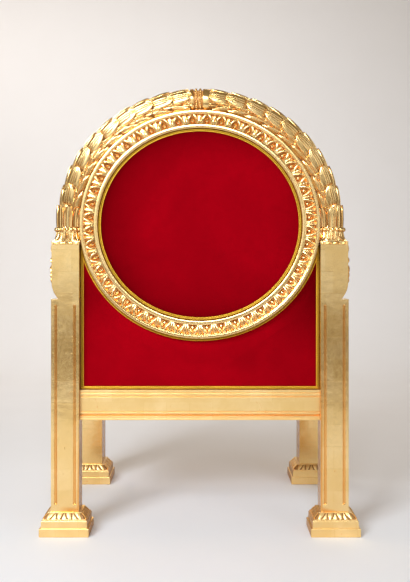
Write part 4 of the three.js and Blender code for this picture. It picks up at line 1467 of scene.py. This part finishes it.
# Each light's place, aim, size, watts, colour and spread in degrees.
LIGHTS = {
    "key_softbox": ((-2.1, -4.6, 2.1), (0, -0.2, 1.1), (3.4, 3.2), 29, COOL_WHITE, 180),
    "front_softbox": ((0.15, -4.7, 1.9), (0.1, -0.2, 1.3), (1.7, 2.4), 7.5, COOL_WHITE, 180),
    "strip_softbox": ((1.35, -4.7, 1.7), (0.5, -0.2, 1.2), (0.8, 2.4), 3.6, COOL_WHITE, 180),
    "fill_softbox": ((3.2, -3.6, 1.9), (0, -0.2, 0.8), (2.0, 2.6), 30, COOL_WHITE, 180),
    "floor_softbox_left": ((-2.3, -4.3, 3.2), (0, 0.3, 0.2), (2.0, 1.5), 54, COOL_WHITE, 84),
    "floor_softbox_front": ((-0.1, -5.0, 2.95), (0, 0.3, 0.2), (1.6, 1.2), 25, COOL_WHITE, 84),
    "sweep_softbox": ((-1.3, 2.2, 3.6), (-0.4, 4.6, 0.5), (6.0, 1.4), 85, SWEEP_WHITE, 180),
}


def softbox(name, place, aim, size, watts, tint, spread):
    clear()
    bpy.ops.object.light_add(type="AREA", location=place)
    light = bpy.context.object
    light.name = name
    light.data.shape = "RECTANGLE"
    light.data.size, light.data.size_y = size
    light.data.energy = watts
    light.data.color = tint
    light.data.spread = math.radians(spread)
    light.rotation_euler = (Vector(aim) - Vector(place)).to_track_quat("-Z", "Y").to_euler()


def studio_paper(colours):
    paint = Paint("studio_paper")
    base = np.array(colours.floor)
    return paint.finish({
        "Base Color": paint.mixed(paint.ramp(paint.noise(3.0), 0.3, 0.7), base * 0.99, base),
        "Roughness": 0.85, "Specular IOR Level": 0.2})


class THRONE_OT_stage(bpy.types.Operator):
    """Lays the pale floor, sets the studio light and places the camera"""
    bl_idname = "throne.stage"
    bl_label = "Studio"

    def execute(self, context):
        scene, sizes = context.scene, context.scene.throne_sizes
        clear()
        bpy.ops.mesh.primitive_plane_add(size=1, location=(0, 0.6, -0.0008))
        floor = bpy.context.object
        floor.name = "studio_sweep"
        floor.scale = (14, 8.2, 1)
        bpy.ops.object.transform_apply(location=True, rotation=True, scale=True)
        edit(floor)
        pick(floor, lambda v: v.co.y > 3.0)
        extrude(z=6)
        leave_edit()
        soften(floor, 1.6, 16, 40)
        smooth(floor, 60)
        floor.data.materials.append(studio_paper(scene.throne_colours))
        scene.world = bpy.data.worlds.new("studio_air")
        scene.world.use_nodes = True
        air = scene.world.node_tree.nodes["Background"].inputs
        air["Color"].default_value, air["Strength"].default_value = AIR_COLOUR, 0.2
        for name, settings in LIGHTS.items():
            softbox(name, *settings)
        camera_data = bpy.data.cameras.new("studio_camera")
        camera = bpy.data.objects.new("studio_camera", camera_data)
        scene.collection.objects.link(camera)
        camera.location = (CAMERA_X, REAR_Y - sizes.camera_distance, sizes.camera_height)
        camera.rotation_euler = (math.pi / 2, 0, 0)
        camera_data.lens, camera_data.sensor_width = LENS, 36
        camera_data.shift_y = -0.0704
        scene.camera = camera
        scene.view_settings.view_transform = "Standard"
        return {"FINISHED"}


# ---- Panel and registration ----

STEPS = (
    THRONE_OT_finishes, THRONE_OT_posts, THRONE_OT_feet, THRONE_OT_rails, THRONE_OT_arms,
    THRONE_OT_oval_frame, THRONE_OT_wreath, THRONE_OT_upholstery, THRONE_OT_braid, THRONE_OT_stage,
)


class THRONE_PT_panel(bpy.types.Panel):
    """Lists the steps that dress the throne"""
    bl_idname = "THRONE_PT_panel"
    bl_label = "Gilded throne"
    bl_space_type = "VIEW_3D"
    bl_region_type = "UI"
    bl_category = "Throne"

    def draw(self, context):
        layout = self.layout
        for group in (context.scene.throne_sizes, context.scene.throne_colours):
            for key in type(group).__annotations__:
                layout.prop(group, key)
        for step in STEPS:
            layout.operator(step.bl_idname)


CLASSES = (ThroneSizes, ThroneColours) + STEPS + (THRONE_PT_panel,)


def register():
    for item in CLASSES:
        bpy.utils.register_class(item)
    bpy.types.Scene.throne_sizes = bpy.props.PointerProperty(type=ThroneSizes)
    bpy.types.Scene.throne_colours = bpy.props.PointerProperty(type=ThroneColours)


def unregister():
    del bpy.types.Scene.throne_colours
    del bpy.types.Scene.throne_sizes
    for item in reversed(CLASSES):
        bpy.utils.unregister_class(item)


def main():
    register()
    bpy.ops.throne.finishes()
    bpy.ops.throne.posts()
    bpy.ops.throne.feet()
    bpy.ops.throne.rails()
    bpy.ops.throne.arms()
    bpy.ops.throne.oval_frame()
    bpy.ops.throne.wreath()
    bpy.ops.throne.upholstery()
    bpy.ops.throne.braid()
    bpy.ops.throne.stage()


if __name__ == "__main__":
    main()
